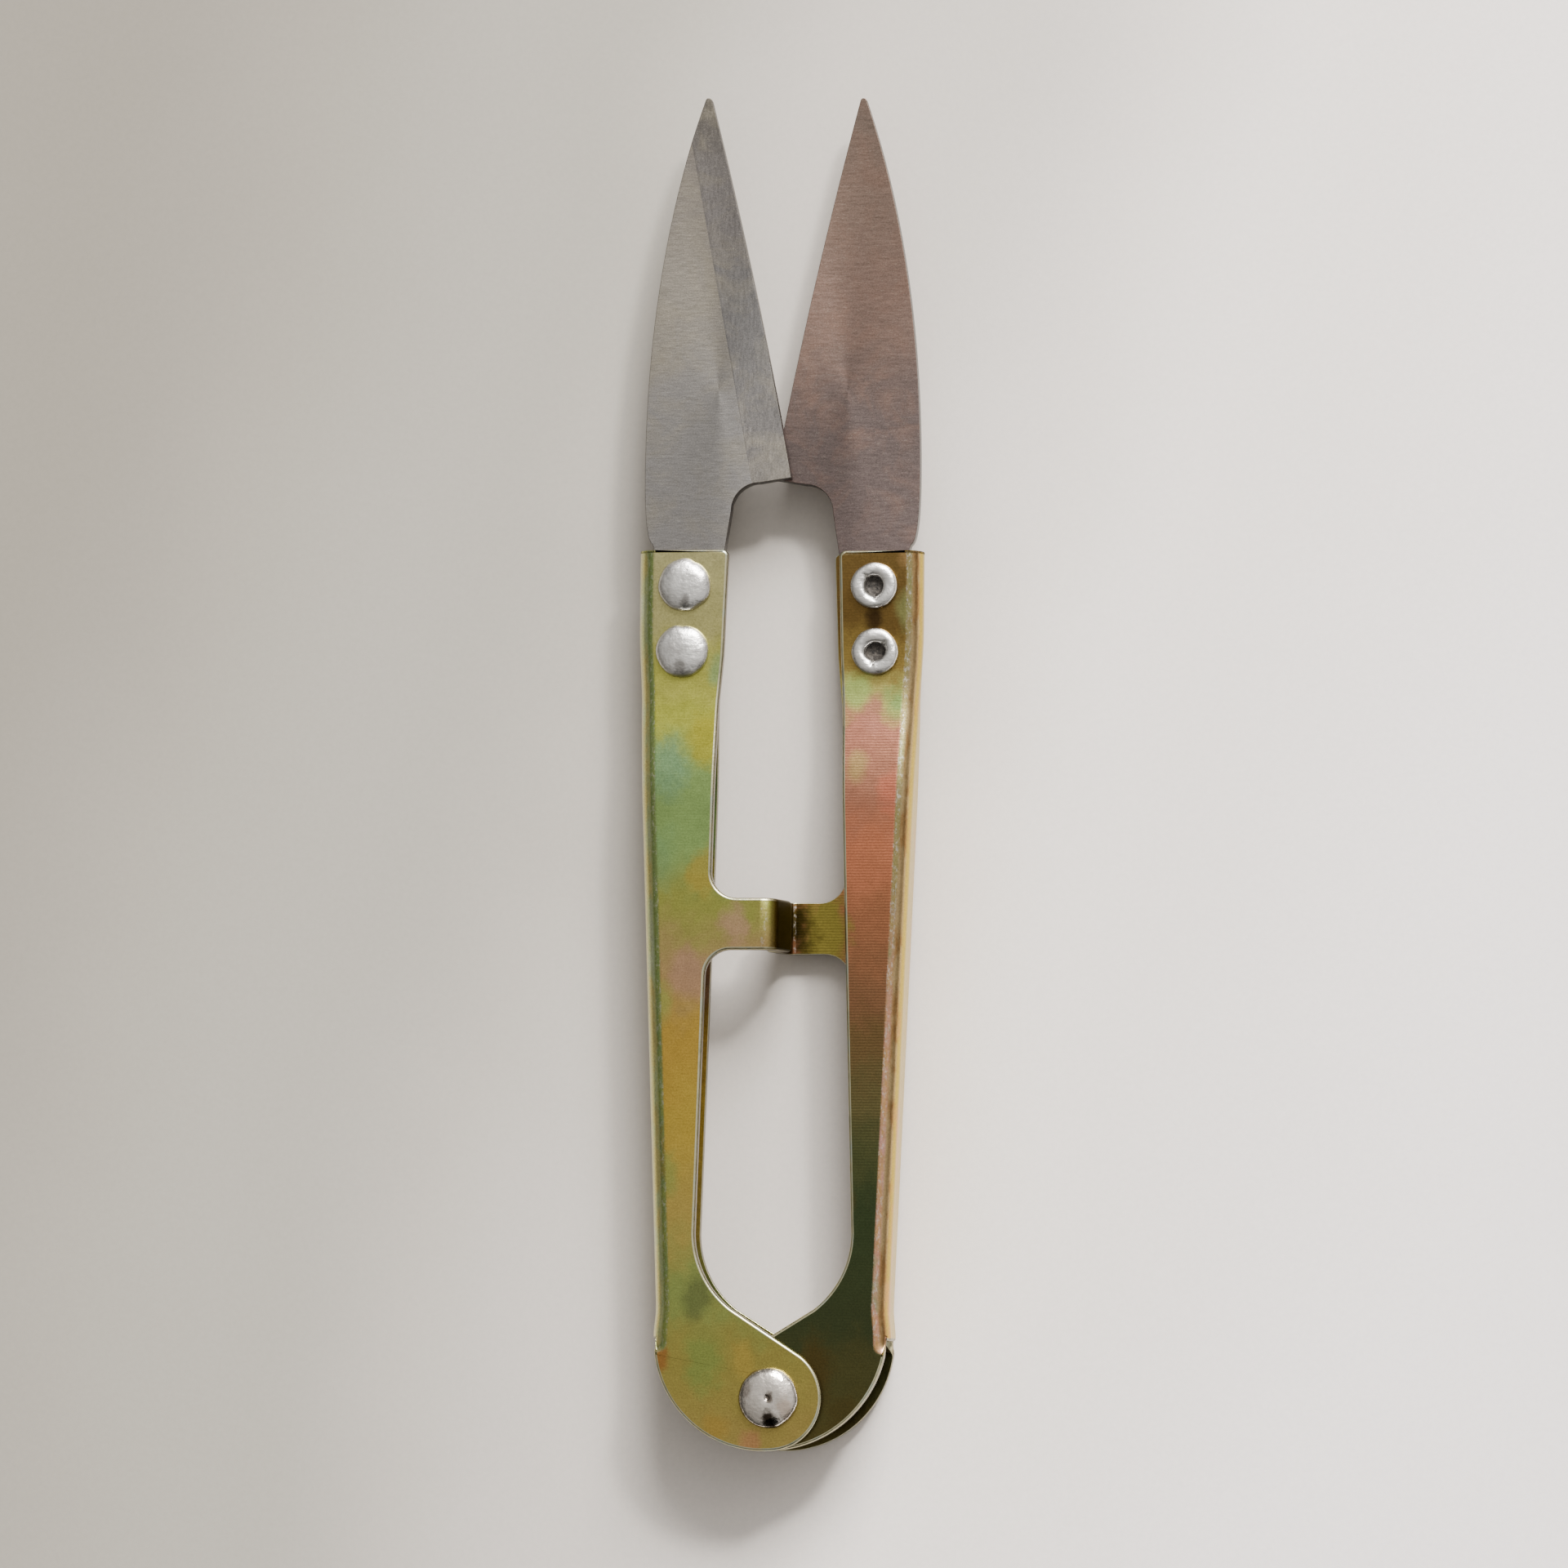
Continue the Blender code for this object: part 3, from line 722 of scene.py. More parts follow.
RIGHT_PATCHES = (
    ((6.2, 54.4), 1.3, from_srgb(160, 178, 98), 0.9),
    ((9.2, 53.4), 1.5, from_srgb(134, 160, 92), 0.9),
    ((7.4, 52.6), 1.3, from_srgb(172, 116, 98), 0.8),
    ((6.2, 48.6), 1.2, from_srgb(170, 152, 92), 0.6),
    ((8.8, 46.5), 1.4, from_srgb(206, 118, 92), 0.7),
    ((10.2, 60.5), 1.5, from_srgb(134, 136, 84), 0.75),
    ((10.0, 65.0), 1.1, from_srgb(160, 128, 84), 0.6),
    # painted reflection: a dark patch between the rivets
    ((7.4, 60.0), 0.9, from_srgb(50, 36, 22), 0.85),
    ((5.8, 15.0), 0.9, from_srgb(84, 72, 42), 0.7),
    # painted reflections: the next two are dark patches near the pivot
    ((3.0, 1.5), 2.4, from_srgb(76, 64, 34), 0.85),
    ((5.5, -1.5), 1.5, from_srgb(74, 66, 36), 0.7),
    ((3.2, 36.2), 2.9, from_srgb(138, 126, 58), 1.0),
    # painted reflection of the hook's wall, dark on the tab beside it
    ((0.9, 36.2), 2.1, from_srgb(64, 53, 22), 1.0),
)


HOOK_WALL = from_srgb(100, 82, 32)
BARE_ZINC = from_srgb(206, 200, 190)
# painted shade for the faces that look down
UNDERSIDE_SHADE = from_srgb(112, 94, 48)


def plating(name, along, patches, fold, upper, scuffed, lines, rough):
    """Yellow-chromated zinc: the colours of a thin film, drifting along the arm in soft patches, with painted
    reflections in them and across the fold, and painted shade on the faces that look down.
    """
    made = finish_named(name, rough)
    place = made.millimetres()
    x, y = made.split(place)[:2]
    # the colours along the arm, partly film and partly painted reflection, with ragged borders
    ragged = made.noise(place, 0.42, 5.0, 0.6)
    moved = made.math("MULTIPLY_ADD", ragged, 7.0, made.math("SUBTRACT", y, 3.5))
    colour = made.ramp_along(moved, along)
    for centre, radius, tone, strength in patches:
        colour = made.mix(made.spot(place, centre, radius, ragged, strength), colour, tone)
    normal = made.split(made.add("ShaderNodeTexCoord").outputs["Normal"])
    sideways = made.math("ABSOLUTE", normal[0])
    cloud = made.noise(made.stretch(place, (1.0, 0.35, 1.0)), 0.55, 4.0, 0.6)
    # the fold's tones, by how far it has turned: where it starts, where it turns, and its outer wall.
    # They are the film's colours with painted reflections, light and dark bands as the bend would
    # mirror the room
    fold_reflections = [made.ramp(cloud, [(0.36 + 0.09 * k, tone) for k, tone in enumerate(group)]) for group in fold]
    start = made.mix(made.ramp_along(y, ((26.0, 0.0), (42.0, 0.8))), fold_reflections[0], upper)
    turn = made.mix(made.ramp(sideways, ((0.36, 0.0), (0.52, 1.0))), start, fold_reflections[1])
    turn = made.mix(made.ramp(sideways, ((0.76, 0.0), (0.9, 1.0))), turn, fold_reflections[2])
    outward = made.math("MULTIPLY", made.math("ABSOLUTE", x), 0.1)
    bending = made.ramp(sideways, ((0.06, 0.0), (0.16, 1.0)))
    folded = made.math("MULTIPLY", bending, made.ramp(outward, ((0.3, 0.0), (0.45, 1.0))))
    colour = made.mix(folded, colour, turn)
    # the hooks' walls, near the middle line
    steep = made.ramp(sideways, ((0.5, 0.0), (0.8, 1.0)))
    hooked = made.math("MULTIPLY", steep, made.ramp(outward, ((0.2, 1.0), (0.35, 0.0))))
    colour = made.mix(made.math("MULTIPLY", hooked, 0.9), colour, HOOK_WALL)
    # where the fold has rubbed, the film is gone in small bright flecks
    flecks = made.noise(made.stretch(place, (2.2, 1.0, 1.0)), 2.4, 5.0, 0.75)
    worn = made.ramp(sideways, ((0.05, 0.0), (0.12, 1.0), (0.34, 1.0), (0.5, 0.0)))
    rubbed = made.math("MULTIPLY", worn, made.ramp(flecks, ((0.52, 0.0), (0.62, 1.0))))
    colour = made.mix(made.math("MULTIPLY", rubbed, scuffed), colour, BARE_ZINC)
    # painted shade: a darker tone on the faces that look down
    hidden = made.ramp(normal[2], ((0.3, 1.0), (0.6, 0.0)))
    back = made.math("MULTIPLY", hidden, made.ramp(sideways, ((0.3, 1.0), (0.6, 0.0))))
    colour = made.mix(made.math("MULTIPLY", back, 0.5), colour, UNDERSIDE_SHADE)
    speck = made.ramp(made.noise(place, 7.0, 4.0, 0.75), ((0.3, 0.74), (0.7, 1.2)))
    colour = made.mix(1.0, colour, speck, "MULTIPLY")
    # fine rolling lines across the arm
    inputs = {"Vector": place, "Scale": 1.45, "Distortion": 1.2, "Detail": 2.0, "Detail Scale": 1.4}
    wave = made.add("ShaderNodeTexWave", inputs, wave_type="BANDS", bands_direction="Y").outputs["Fac"]
    where = made.ramp_along(y, ((0.0, 0.1), (14.0, 0.3), (22.0, 1.0), (50.0, 1.0), (56.0, 0.25), (66.0, 0.2)))
    where = made.math("MULTIPLY", where, made.ramp(sideways, ((0.05, lines), (0.15, 0.0))))
    ruled = made.mix(where, (1.0, 1.0, 1.0), made.ramp(wave, ((0.1, 0.8), (0.6, 1.07))))
    colour = made.mix(1.0, colour, ruled, "MULTIPLY")
    made.set(Base_Color=colour)
    rolling = made.noise(made.stretch(place, (0.9, 7.5, 0.9)), 1.0, 4.0, 0.65)
    waves = made.noise(place, 0.11, 2.0, 0.5)
    bent = made.bump(waves, 0.00016)
    bent = made.bump(rolling, 0.000007, bent)
    bent = made.bump(made.math("MULTIPLY", wave, where), 0.000003, bent)
    made.set(Normal=made.bump(speck, 0.000004, bent))
    made.set(Roughness=made.math("MULTIPLY_ADD", made.noise(place, 1.3, 4.0, 0.6), 0.16, rough - 0.08))
    return made.owner


def tones(*values):
    """Linear colours from several display values."""
    return tuple(from_srgb(*value) for value in values)


def left_plating():
    # the fold's tones, with painted reflections of the bend
    start = tones((114, 130, 78), (126, 134, 72), (112, 128, 80), (132, 126, 68))
    turn = tones((206, 216, 176), (202, 212, 156), (218, 208, 138))
    wall = tones((204, 206, 188), (210, 206, 160))
    fold = (start, turn, wall)
    return plating("left_arm_plating", LEFT_ALONG, LEFT_PATCHES, fold, start[0], 0.3, 0.12, 0.34)


def right_plating():
    # the fold's tones, with painted reflections of the bend
    start = tones((150, 140, 104), (186, 136, 112), (176, 138, 90), (190, 142, 128))
    turn = tones((164, 136, 92), (148, 114, 72), (170, 146, 104))
    wall = tones((196, 152, 80), (188, 164, 66))
    fold = (start, turn, wall)
    upper = from_srgb(118, 118, 74)
    return plating("right_arm_plating", RIGHT_ALONG, RIGHT_PATCHES, fold, upper, 0.5, 1.0, 0.3)


def cut_edge():
    """The sheared edge of the plated sheet: bare metal, painted lighter as a highlight at its corners, and
    painted brown shade where it faces sideways.
    """
    made = finish_named("plated_cut_edge", 0.3)
    place = made.millimetres()
    patch = made.noise(place, 0.5, 4.0, 0.6)
    # the edge's bare metal, with painted highlights
    bright = tones((146, 150, 124), (184, 178, 144), (168, 176, 160))
    colour = made.ramp(patch, list(zip((0.3, 0.5, 0.68), bright)))
    # painted shade: the edge turns dark brown where it faces sideways
    facing = made.math("ABSOLUTE", made.split(made.add("ShaderNodeTexCoord").outputs["Normal"])[2])
    side = made.ramp(facing, ((0.2, 0.85), (0.55, 0.0)))
    made.set(Base_Color=made.mix(side, colour, from_srgb(92, 78, 46)))
    made.set(Normal=made.bump(made.noise(place, 6.0, 3.0, 0.6), 0.00001))
    return made.owner


# Tones of the blades, as (Y, tone) in millimetres from the pivot
LEFT_BLADE_ALONG = (
    (55.0, from_srgb(140, 137, 135)),
    (75.0, from_srgb(136, 133, 130)),
    (85.0, from_srgb(138, 132, 122)),
    (93.0, from_srgb(124, 118, 111)),
    (101.0, from_srgb(104, 98, 92)),
)
# painted shade: the left facet's tones, darker than the flat, stand for its tilt away from the light
LEFT_FACET_SHADED_ALONG = (
    (70.0, from_srgb(104, 101, 99)),
    (84.0, from_srgb(108, 106, 105)),
    (91.0, from_srgb(104, 100, 98)),
    (101.0, from_srgb(88, 84, 79)),
)
RIGHT_BLADE_ALONG = (
    (55.0, from_srgb(112, 98, 96)),
    (74.0, from_srgb(106, 94, 91)),
    (84.0, from_srgb(132, 110, 100)),
    (93.0, from_srgb(130, 110, 99)),
    (101.0, from_srgb(114, 101, 92)),
)
LEFT_STREAK = from_srgb(148, 140, 122)
RIGHT_STREAK = from_srgb(142, 112, 98)


def blade_steel(name, along, streak, seed, lines_across=True):
    """Ground steel with short fine lines, across the blade on its flat and lengthwise on its facet."""
    made = finish_named(name, 0.34)
    place = made.millimetres()
    y = made.split(place)[1]
    shifted = made.add("ShaderNodeVectorMath", {0: place, 1: (seed, 0.0, seed * 0.37)}).outputs[0]
    grain = (0.9, 6.5, 1.0) if lines_across else (5.0, 0.9, 1.0)
    marks = made.noise(made.stretch(shifted, grain), 1.0, 6.0, 0.75, 0.3)
    cloud = made.noise(shifted, 0.23, 5.0, 0.62, 1.1)
    moved = made.math("MULTIPLY_ADD", cloud, 9.0, made.math("SUBTRACT", y, 4.5))
    colour = made.ramp_along(moved, along)
    colour = made.mix(made.ramp(cloud, ((0.45, 0.0), (0.68, 0.4))), colour, streak)
    scratches = made.noise(made.stretch(shifted, (1.6, 3.8, 1.0)), 2.4, 3.0, 0.8, 1.6)
    scratches = made.ramp(scratches, ((0.58, 0.0), (0.66, 0.22)))
    colour = made.mix(scratches, colour, from_srgb(190, 182, 166))
    colour = made.mix(1.0, colour, made.ramp(marks, ((0.3, 0.8), (0.7, 1.14))), "MULTIPLY")
    speck = made.ramp(made.noise(place, 9.0, 3.0, 0.75), ((0.3, 0.74), (0.7, 1.2)))
    colour = made.mix(1.0, colour, speck, "MULTIPLY")
    # painted shade: the blade's sides, facing sideways, are darkened
    facing = made.math("ABSOLUTE", made.split(made.add("ShaderNodeTexCoord").outputs["Normal"])[2])
    rim = made.ramp(facing, ((0.35, 1.0), (0.85, 0.0)))
    colour = made.mix(rim, colour, from_srgb(74, 70, 66))
    made.set(Base_Color=colour, Anisotropic=0.3)
    made.set(Normal=made.bump(marks, 0.000009))
    made.set(Roughness=made.math("MULTIPLY_ADD", marks, 0.14, 0.29))
    return made.owner


# Smudges on the blade rivets' heads, and painted reflections on the polished one, darker, as patches
HEAD_MARKS = (
    ((-7.2, 61.2), 0.55, from_srgb(120, 116, 112), 0.75),
    ((-7.6, 56.1), 0.6, from_srgb(128, 124, 120), 0.7),
    ((-7.9, 57.6), 0.7, from_srgb(186, 182, 178), 0.6),
)
PIVOT_PAINTED_REFLECTIONS = (
    ((-1.6, 0.6), 0.6, from_srgb(158, 146, 136), 0.7),
    ((1.3, -0.7), 0.8, from_srgb(190, 170, 152), 0.7),
    ((0.15, 0.0), 0.42, from_srgb(104, 94, 84), 0.9),
    ((0.2, -1.65), 0.8, from_srgb(56, 48, 40), 1.0),
)


def rivet_steel(name, tone, rough, scratch, marks):
    """Bright rivet heads with hammer marks, fine scratches and a few darker patches: smudges on the blade
    rivets and painted reflections on the polished pivot.
    """
    made = finish_named(name, rough)
    place = made.millimetres()
    cells = made.noise(place, 1.1, 3.0, 0.55)
    scratches = made.noise(made.stretch(place, (0.7, 6.0, 1.0)), 1.6, 4.0, 0.7, 0.8)
    colour = made.ramp(cells, ((0.3, tuple(c * 0.82 for c in tone)), (0.7, tone)))
    shade = made.ramp(scratches, ((0.3, 0.86), (0.6, 1.05)))
    ragged = made.noise(place, 1.6, 4.0, 0.6)
    # the patches: smudges, and on the polished head painted reflections
    for centre, radius, dark, strength in marks:
        colour = made.mix(made.spot(place, centre, radius, ragged, strength), colour, dark)
    made.set(Base_Color=made.mix(1.0, colour, shade, "MULTIPLY"))
    normal = made.bump(cells, 0.00009)
    made.set(Normal=made.bump(scratches, scratch, normal))
    made.set(Roughness=made.math("MULTIPLY_ADD", scratches, 0.2, rough - 0.1))
    return made.owner


def dark_bore():
    """Painted shade down the shallow hollow of a rivet's tail, near black, standing for a deeper hole."""
    made = finish_named("rivet_bore", 0.6, 0.6)
    place = made.millimetres()
    bore_shade = made.noise(place, 3.0, 4.0, 0.7)
    made.set(Base_Color=made.ramp(bore_shade, ((0.35, (0.008, 0.007, 0.006)), (0.7, (0.08, 0.07, 0.06)))))
    made.set(Normal=made.bump(made.noise(place, 3.5, 4.0, 0.7), 0.00008))
    return made.owner


def spring_wire():
    made = finish_named("spring_wire", 0.38)
    place = made.millimetres()
    drawn = made.noise(place, 3.0, 4.0, 0.65)
    made.set(Base_Color=made.ramp(drawn, ((0.3, (0.16, 0.155, 0.145)), (0.7, (0.34, 0.33, 0.31)))))
    made.set(Normal=made.bump(drawn, 0.000012))
    return made.owner


# ---------------------------------------------------------------- pieces


def make_arm(side, finish, edge):
    points, faces = sheet_solid(arm_skin)
    arm = link(f"{side}_arm_sheet", mesh_from(f"{side}_arm_sheet", points, faces, half_matrix(side)))
    arm.data.materials.append(finish)
    arm.data.materials.append(edge)
    skin_count = len(points) // 2
    for polygon in arm.data.polygons:
        skins = {index < skin_count for index in polygon.vertices}
        polygon.material_index = int(len(skins) == 2)
    weigh_edges(arm.data, skin_count, INSIDE_EDGE / OUTSIDE_EDGE)
    round_edges(arm, OUTSIDE_EDGE, 3, edge_slot=1, weighed=True)
    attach(arm, f"{side}_half")
    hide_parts(f"{side}_arm")


def make_blade(side, finish, facet):
    blade = link(f"{side}_blade_steel", blade_mesh(f"{side}_blade_steel", half_matrix(side)))
    blade.data.materials.append(finish)
    blade.data.materials.append(facet)
    round_edges(blade, BLADE_EDGE, 2, 30)
    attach(blade, f"{side}_half")
    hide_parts(f"{side}_blade")


def hammered(amount, seed, radius=None):
    """Moves a rivet's points a little, and makes the rim of a head uneven, with one small nick."""

    def move(p):
        offset = noise.noise_vector(p * 0.9 + Vector((seed, seed * 0.3, 0.0))) * amount
        p = p + Vector((offset.x, offset.y, offset.z * 0.5))
        if radius is None:
            return p
        angle = math.atan2(p.y, p.x)
        share = smooth((math.hypot(p.x, p.y) / radius - 0.6) / 0.4)
        nick = math.exp(-(((angle - math.radians(52 + 6 * seed)) / 0.13) ** 2))
        ragged = 0.01 * math.sin(3 * angle + seed) + 0.005 * math.sin(7 * angle + 2 * seed) - 0.04 * nick
        return Vector((p.x * (1 + ragged * share), p.y * (1 + ragged * share), p.z))

    return move


def rolled(seed, top):
    """Moves the points of a rolled tail: uneven wall, and short splits that open toward the bore."""
    even = hammered(0.06, seed)

    def near(angle, turn):
        return math.exp(-((math.remainder(angle - seed - turn, 2 * math.pi) / 0.1) ** 2))

    def move(p):
        p = even(p)
        if p.z > top - 0.12:
            return p
        angle = math.atan2(p.y, p.x)
        r = math.hypot(p.x, p.y)
        share = smooth((RING_R - r) / (RING_R - TAIL_BORE) + 0.25)
        split = sum(near(angle, turn) for turn in SPLITS)
        grown = 1 + share * (0.05 * math.sin(2 * angle + seed) + 0.1 * split)
        z = p.z + 0.12 * share * split + 0.03 * share * math.sin(3 * angle)
        return Vector((p.x * grown, p.y * grown, z))

    return move


def make_blade_rivet(side, which, finish, bore, seed):
    head_base = OUTER_GRIP_LEVEL + FIT_GAP
    tail_top = INNER_GRIP_LEVEL - FIT_GAP
    profile = domed_head(RIVET_HEAD, RIVET_DOME, head_base)
    profile += [(RIVET_SHANK, head_base), (RIVET_SHANK, tail_top)]
    head_points = 1 + (len(profile) - 3) * RIVET_SIDES
    half_width = (TAIL_RING - TAIL_BORE) / 2
    half_height = TAIL_HEIGHT / 2
    for k in range(RING_STEPS + 1):
        angle = math.radians(RING_START - RING_SWEEP * k / RING_STEPS)
        r = RING_R + half_width * math.cos(angle)
        profile.append((r, tail_top - half_height + half_height * math.sin(angle)))
    bore_start = len(profile)
    profile += [(TAIL_BORE - 0.04, tail_top - 0.22), (TAIL_BORE - 0.1, tail_top - 0.1)]
    profile += [(TAIL_BORE * 0.6, tail_top - 0.05), (0.0, tail_top - 0.04)]
    points, faces = turned(profile, RIVET_SIDES)
    shape_head = hammered(0.05, seed, RIVET_HEAD)
    shape_tail = rolled(seed, tail_top)
    points = [shape_head(p) if k < head_points else shape_tail(p) for k, p in enumerate(points)]
    u, y = RIVET_PLACES[which]
    matrix = half_matrix(side) @ Matrix.Translation((-u, y, 0.0))
    name = f"{side}_{which}_rivet_steel"
    rivet = link(name, mesh_from(name, points, faces, matrix, 60))
    rivet.data.materials.append(finish)
    rivet.data.materials.append(bore)
    first_bore_point = 1 + (bore_start - 1) * RIVET_SIDES
    for polygon in rivet.data.polygons:
        if min(polygon.vertices) >= first_bore_point:
            polygon.material_index = 1
    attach(rivet, f"{side}_half")
    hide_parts(f"{side}_{which}_rivet")


def make_pivot_rivet(finish):
    """One rivet through both halves: a domed head with a small dimple, and a rolled hollow tail."""
    shape = hammered(0.05, 5.5)
    front = OUTER_LEVEL + FIT_GAP
    back = -front
    dome = domed_head(PIVOT_HEAD, PIVOT_DOME, front, 2.2, 24)
    crown = dome[0][1]
    profile = [(0.0, crown - 0.16), (0.12, crown - 0.14), (0.2, crown - 0.07), (0.28, crown - 0.02)]
    profile += dome[4:] + [(PIVOT_SHANK, front), (PIVOT_SHANK, back)]
    profile += [(PIVOT_TAIL - 0.12, back), (PIVOT_TAIL - 0.02, back - 0.1)]
    profile += [(PIVOT_TAIL, back - 0.25), (PIVOT_TAIL - 0.12, back - 0.42), (PIVOT_TAIL - 0.45, back - 0.6)]
    profile += [(1.15, back - 0.76), (1.0, back - PIVOT_TAIL_HEIGHT), (0.85, back - PIVOT_TAIL_HEIGHT)]
    profile += [(0.75, back - 0.72), (0.66, back - 0.5), (0.55, back - 0.32), (0.0, back - 0.28)]
    points, faces = turned(profile, PIVOT_SIDES)
    points = [shape(p) for p in points]
    name = "pivot_rivet_steel"
    rivet = link(name, mesh_from(name, points, faces, half_matrix("left"), 60))
    rivet.data.materials.append(finish)
    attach(rivet, "left_half")
    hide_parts("pivot_rivet")


def spring_path():
    rise = COIL_PITCH * COIL_TURNS
    steps = round(POINTS_PER_TURN * COIL_TURNS)
    coil = []
    for k in range(steps + 1):
        angle = COIL_START + 2 * math.pi * COIL_TURNS * k / steps
        coil.append((COIL * math.cos(angle), COIL * math.sin(angle), rise * (k / steps - 0.5)))
    start = coil[0]
    corner_y = start[1] + (LEG_U + start[0])
    cut = LEG_BEND * math.tan(math.radians(22.5))
    leg = arc((LEG_U - LEG_BEND, corner_y + cut), LEG_BEND, math.radians(-45), 0.0, 10)
    leg.append((LEG_U, LEG_END_Y))
    left = [(-u, y, start[2]) for u, y in reversed(leg)]
    right = [(u, y, -start[2]) for u, y in leg]
    return [Vector(p) for p in left + coil + right]


def make_spring(finish):
    """A round wire swept along the spring's centre line, with flat ends."""
    path = spring_path()
    points = []
    faces = []
    for k, place in enumerate(path):
        ahead = path[min(k + 1, len(path) - 1)] - path[max(k - 1, 0)]
        ahead.normalize()
        across = ahead.cross(Vector((0.0, 0.0, 1.0))).normalized()
        upward = across.cross(ahead)
        for s in range(WIRE_SIDES):
            angle = 2 * math.pi * s / WIRE_SIDES
            points.append(place + (across * math.cos(angle) + upward * math.sin(angle)) * WIRE / 2)
    rings = len(path)
    for k in range(rings - 1):
        for s in range(WIRE_SIDES):
            after = (s + 1) % WIRE_SIDES
            low = k * WIRE_SIDES
            high = low + WIRE_SIDES
            faces.append((low + s, low + after, high + after, high + s))
    faces.append(tuple(reversed(range(WIRE_SIDES))))
    faces.append(tuple(range((rings - 1) * WIRE_SIDES, rings * WIRE_SIDES)))
    name = "torsion_spring_wire"
    spring = link(name, mesh_from(name, points, faces, half_matrix("left"), 50))
    spring.data.materials.append(finish)
    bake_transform(spring)
    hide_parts("torsion_spring")


# ---------------------------------------------------------------- stage


def make_floor():
    far = TABLE_HALF
    corners = [(-far, -far, 0.0), (far, -far, 0.0), (far, far, 0.0), (-far, far, 0.0)]
    floor = link("floor", mesh_from("floor", corners, [(0, 1, 2, 3)], Matrix.Identity(4)))
    made = finish_named("pale_table", 0.85, 0.0)
    place = made.millimetres()
    cloud = made.noise(place, 0.018, 3.0, 0.5)
    x, y = made.split(place)[:2]
    across = made.math("MULTIPLY_ADD", y, TABLE_SLANT, x)
    across = made.math("MULTIPLY_ADD", cloud, TABLE_CLOUD, across)
    # painted light: the table grows lighter toward the right, as if lit from there
    painted_falloff = made.ramp(made.math("MULTIPLY_ADD", across, 1 / TABLE_SPAN, 0.5), TABLE_PAINTED_LIGHT, "EASE")
    grain = made.ramp(made.noise(place, 2.6, 3.0, 0.7), ((0.3, 0.97), (0.7, 1.03)))
    made.set(Base_Color=made.mix(1.0, painted_falloff, grain, "MULTIPLY"))
    floor.data.materials.append(made.owner)


def aim(obj, target):
    obj.rotation_mode = "QUATERNION"
    obj.rotation_quaternion = (target - obj.location).to_track_quat("-Z", "Y")


def area_light(name, place, size, power, colour):
    data = bpy.data.lights.new(name, "AREA")
    data.shape = "DISK"
    data.size = size
    data.energy = power
    data.color = colour
    lamp = bpy.data.objects.new(name, data)
    bpy.context.scene.collection.objects.link(lamp)
    lamp.location = place
    aim(lamp, Vector((0.0, 0.0, 0.0)))


def make_world():
    """A room that is bright overhead and toward the right, with the dark shape of whoever leans over."""
    world = bpy.data.worlds.new("studio")
    bpy.context.scene.world = world
    made = Finish(world)
    place = made.add("ShaderNodeTexCoord").outputs["Generated"]
    x, y, z = made.split(place)
    toward = made.math("MULTIPLY_ADD", x, 0.3, made.math("MULTIPLY_ADD", y, 0.3, 0.5))
    room = ((0.2, (0.5, 0.48, 0.45)), (0.5, (0.9, 0.88, 0.85)), (0.8, (1.25, 1.2, 1.15)))
    side = made.ramp(toward, room)
    height = made.ramp(z, ((0.0, 0.14), (0.3, 0.3), (0.62, 0.85), (0.85, 1.0)))
    leaning = made.along(place, PERSON)
    shape = made.ramp(leaning, ((0.94, 1.0), (0.975, 0.06)))
    tone = made.mix(1.0, made.mix(1.0, side, height, "MULTIPLY"), shape, "MULTIPLY")
    near = made.along(place, tuple(Vector(WINDOW_PLACE).normalized()))
    glow = made.ramp(near, ((0.76, (0.0, 0.0, 0.0)), (0.93, (1.15, 1.12, 1.08))), "EASE")
    tone = made.mix(1.0, tone, glow, "ADD")
    background = made.tree.nodes["Background"]
    made.put(background.inputs[0], tone)
    made.put(background.inputs[1], WORLD_STRENGTH)


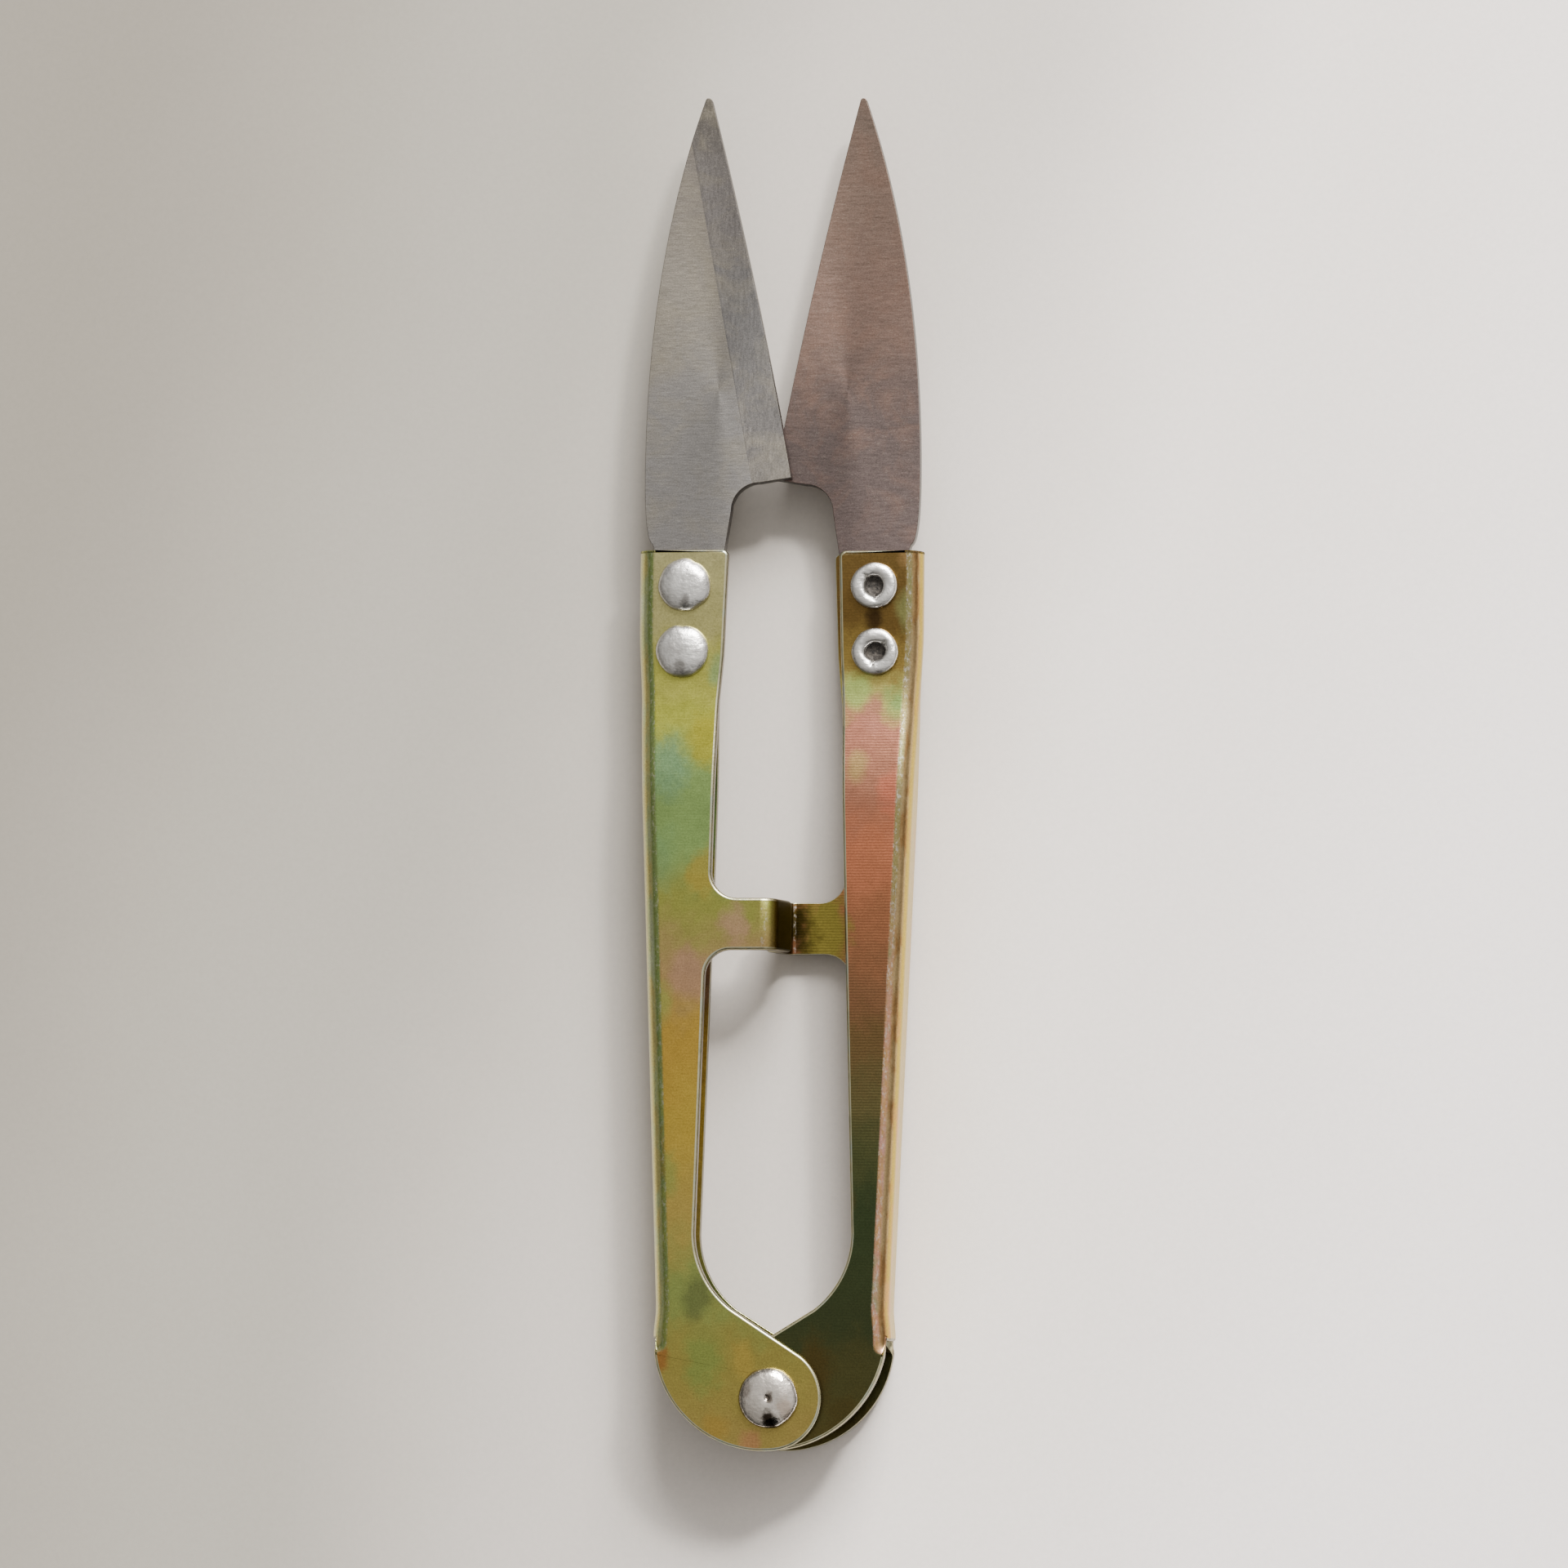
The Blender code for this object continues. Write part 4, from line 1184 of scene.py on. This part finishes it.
def make_camera():
    data = bpy.data.cameras.new("camera")
    data.lens = CAMERA_LENS
    data.clip_start = 0.01
    data.clip_end = 10.0
    camera = bpy.data.objects.new("camera", data)
    bpy.context.scene.collection.objects.link(camera)
    flat = math.cos(CAMERA_DOWN)
    back = Vector((math.sin(CAMERA_SIDE) * flat, -math.sin(CAMERA_DOWN), math.cos(CAMERA_SIDE) * flat))
    right = Vector((0.0, 1.0, 0.0)).cross(back).normalized()
    up = back.cross(right)
    turned_right = right * math.cos(CAMERA_ROLL) + up * math.sin(CAMERA_ROLL)
    turned_up = up * math.cos(CAMERA_ROLL) - right * math.sin(CAMERA_ROLL)
    rotation = Matrix((turned_right, turned_up, back)).transposed()
    camera.rotation_mode = "QUATERNION"
    camera.rotation_quaternion = rotation.to_quaternion()
    camera.location = CAMERA_AIM + back * CAMERA_DISTANCE
    bpy.context.scene.camera = camera


def main():
    make_camera()
    edge = cut_edge()
    bore = dark_bore()
    make_arm("left", left_plating(), edge)
    make_arm("right", right_plating(), edge)
    left_flat = blade_steel("left_blade_flat", LEFT_BLADE_ALONG, LEFT_STREAK, 2.0)
    left_facet = blade_steel("left_blade_facet", LEFT_FACET_SHADED_ALONG, LEFT_STREAK, 5.0, False)
    right_flat = blade_steel("right_blade_flat", RIGHT_BLADE_ALONG, RIGHT_STREAK, 9.0)
    right_facet = blade_steel("right_blade_facet", RIGHT_BLADE_ALONG, RIGHT_STREAK, 7.0, False)
    make_blade("left", left_flat, left_facet)
    make_blade("right", right_flat, right_facet)
    heads = rivet_steel("blade_rivet_steel", from_srgb(232, 230, 226), 0.3, 0.000014, HEAD_MARKS)
    polished = rivet_steel("pivot_rivet_polished", from_srgb(230, 222, 212), 0.15, 0.000004, PIVOT_PAINTED_REFLECTIONS)
    for number, (side, which) in enumerate(((s, w) for s in ("left", "right") for w in RIVET_PLACES)):
        make_blade_rivet(side, which, heads, bore, 2.3 + 4.1 * number)
    make_pivot_rivet(polished)
    make_spring(spring_wire())
    make_floor()
    make_world()
    area_light("window", WINDOW_PLACE, WINDOW_SIZE, WINDOW_POWER, (1.0, 0.98, 0.96))
    area_light("lamp", LAMP_PLACE, LAMP_SIZE, LAMP_POWER, (1.0, 0.97, 0.93))


main()
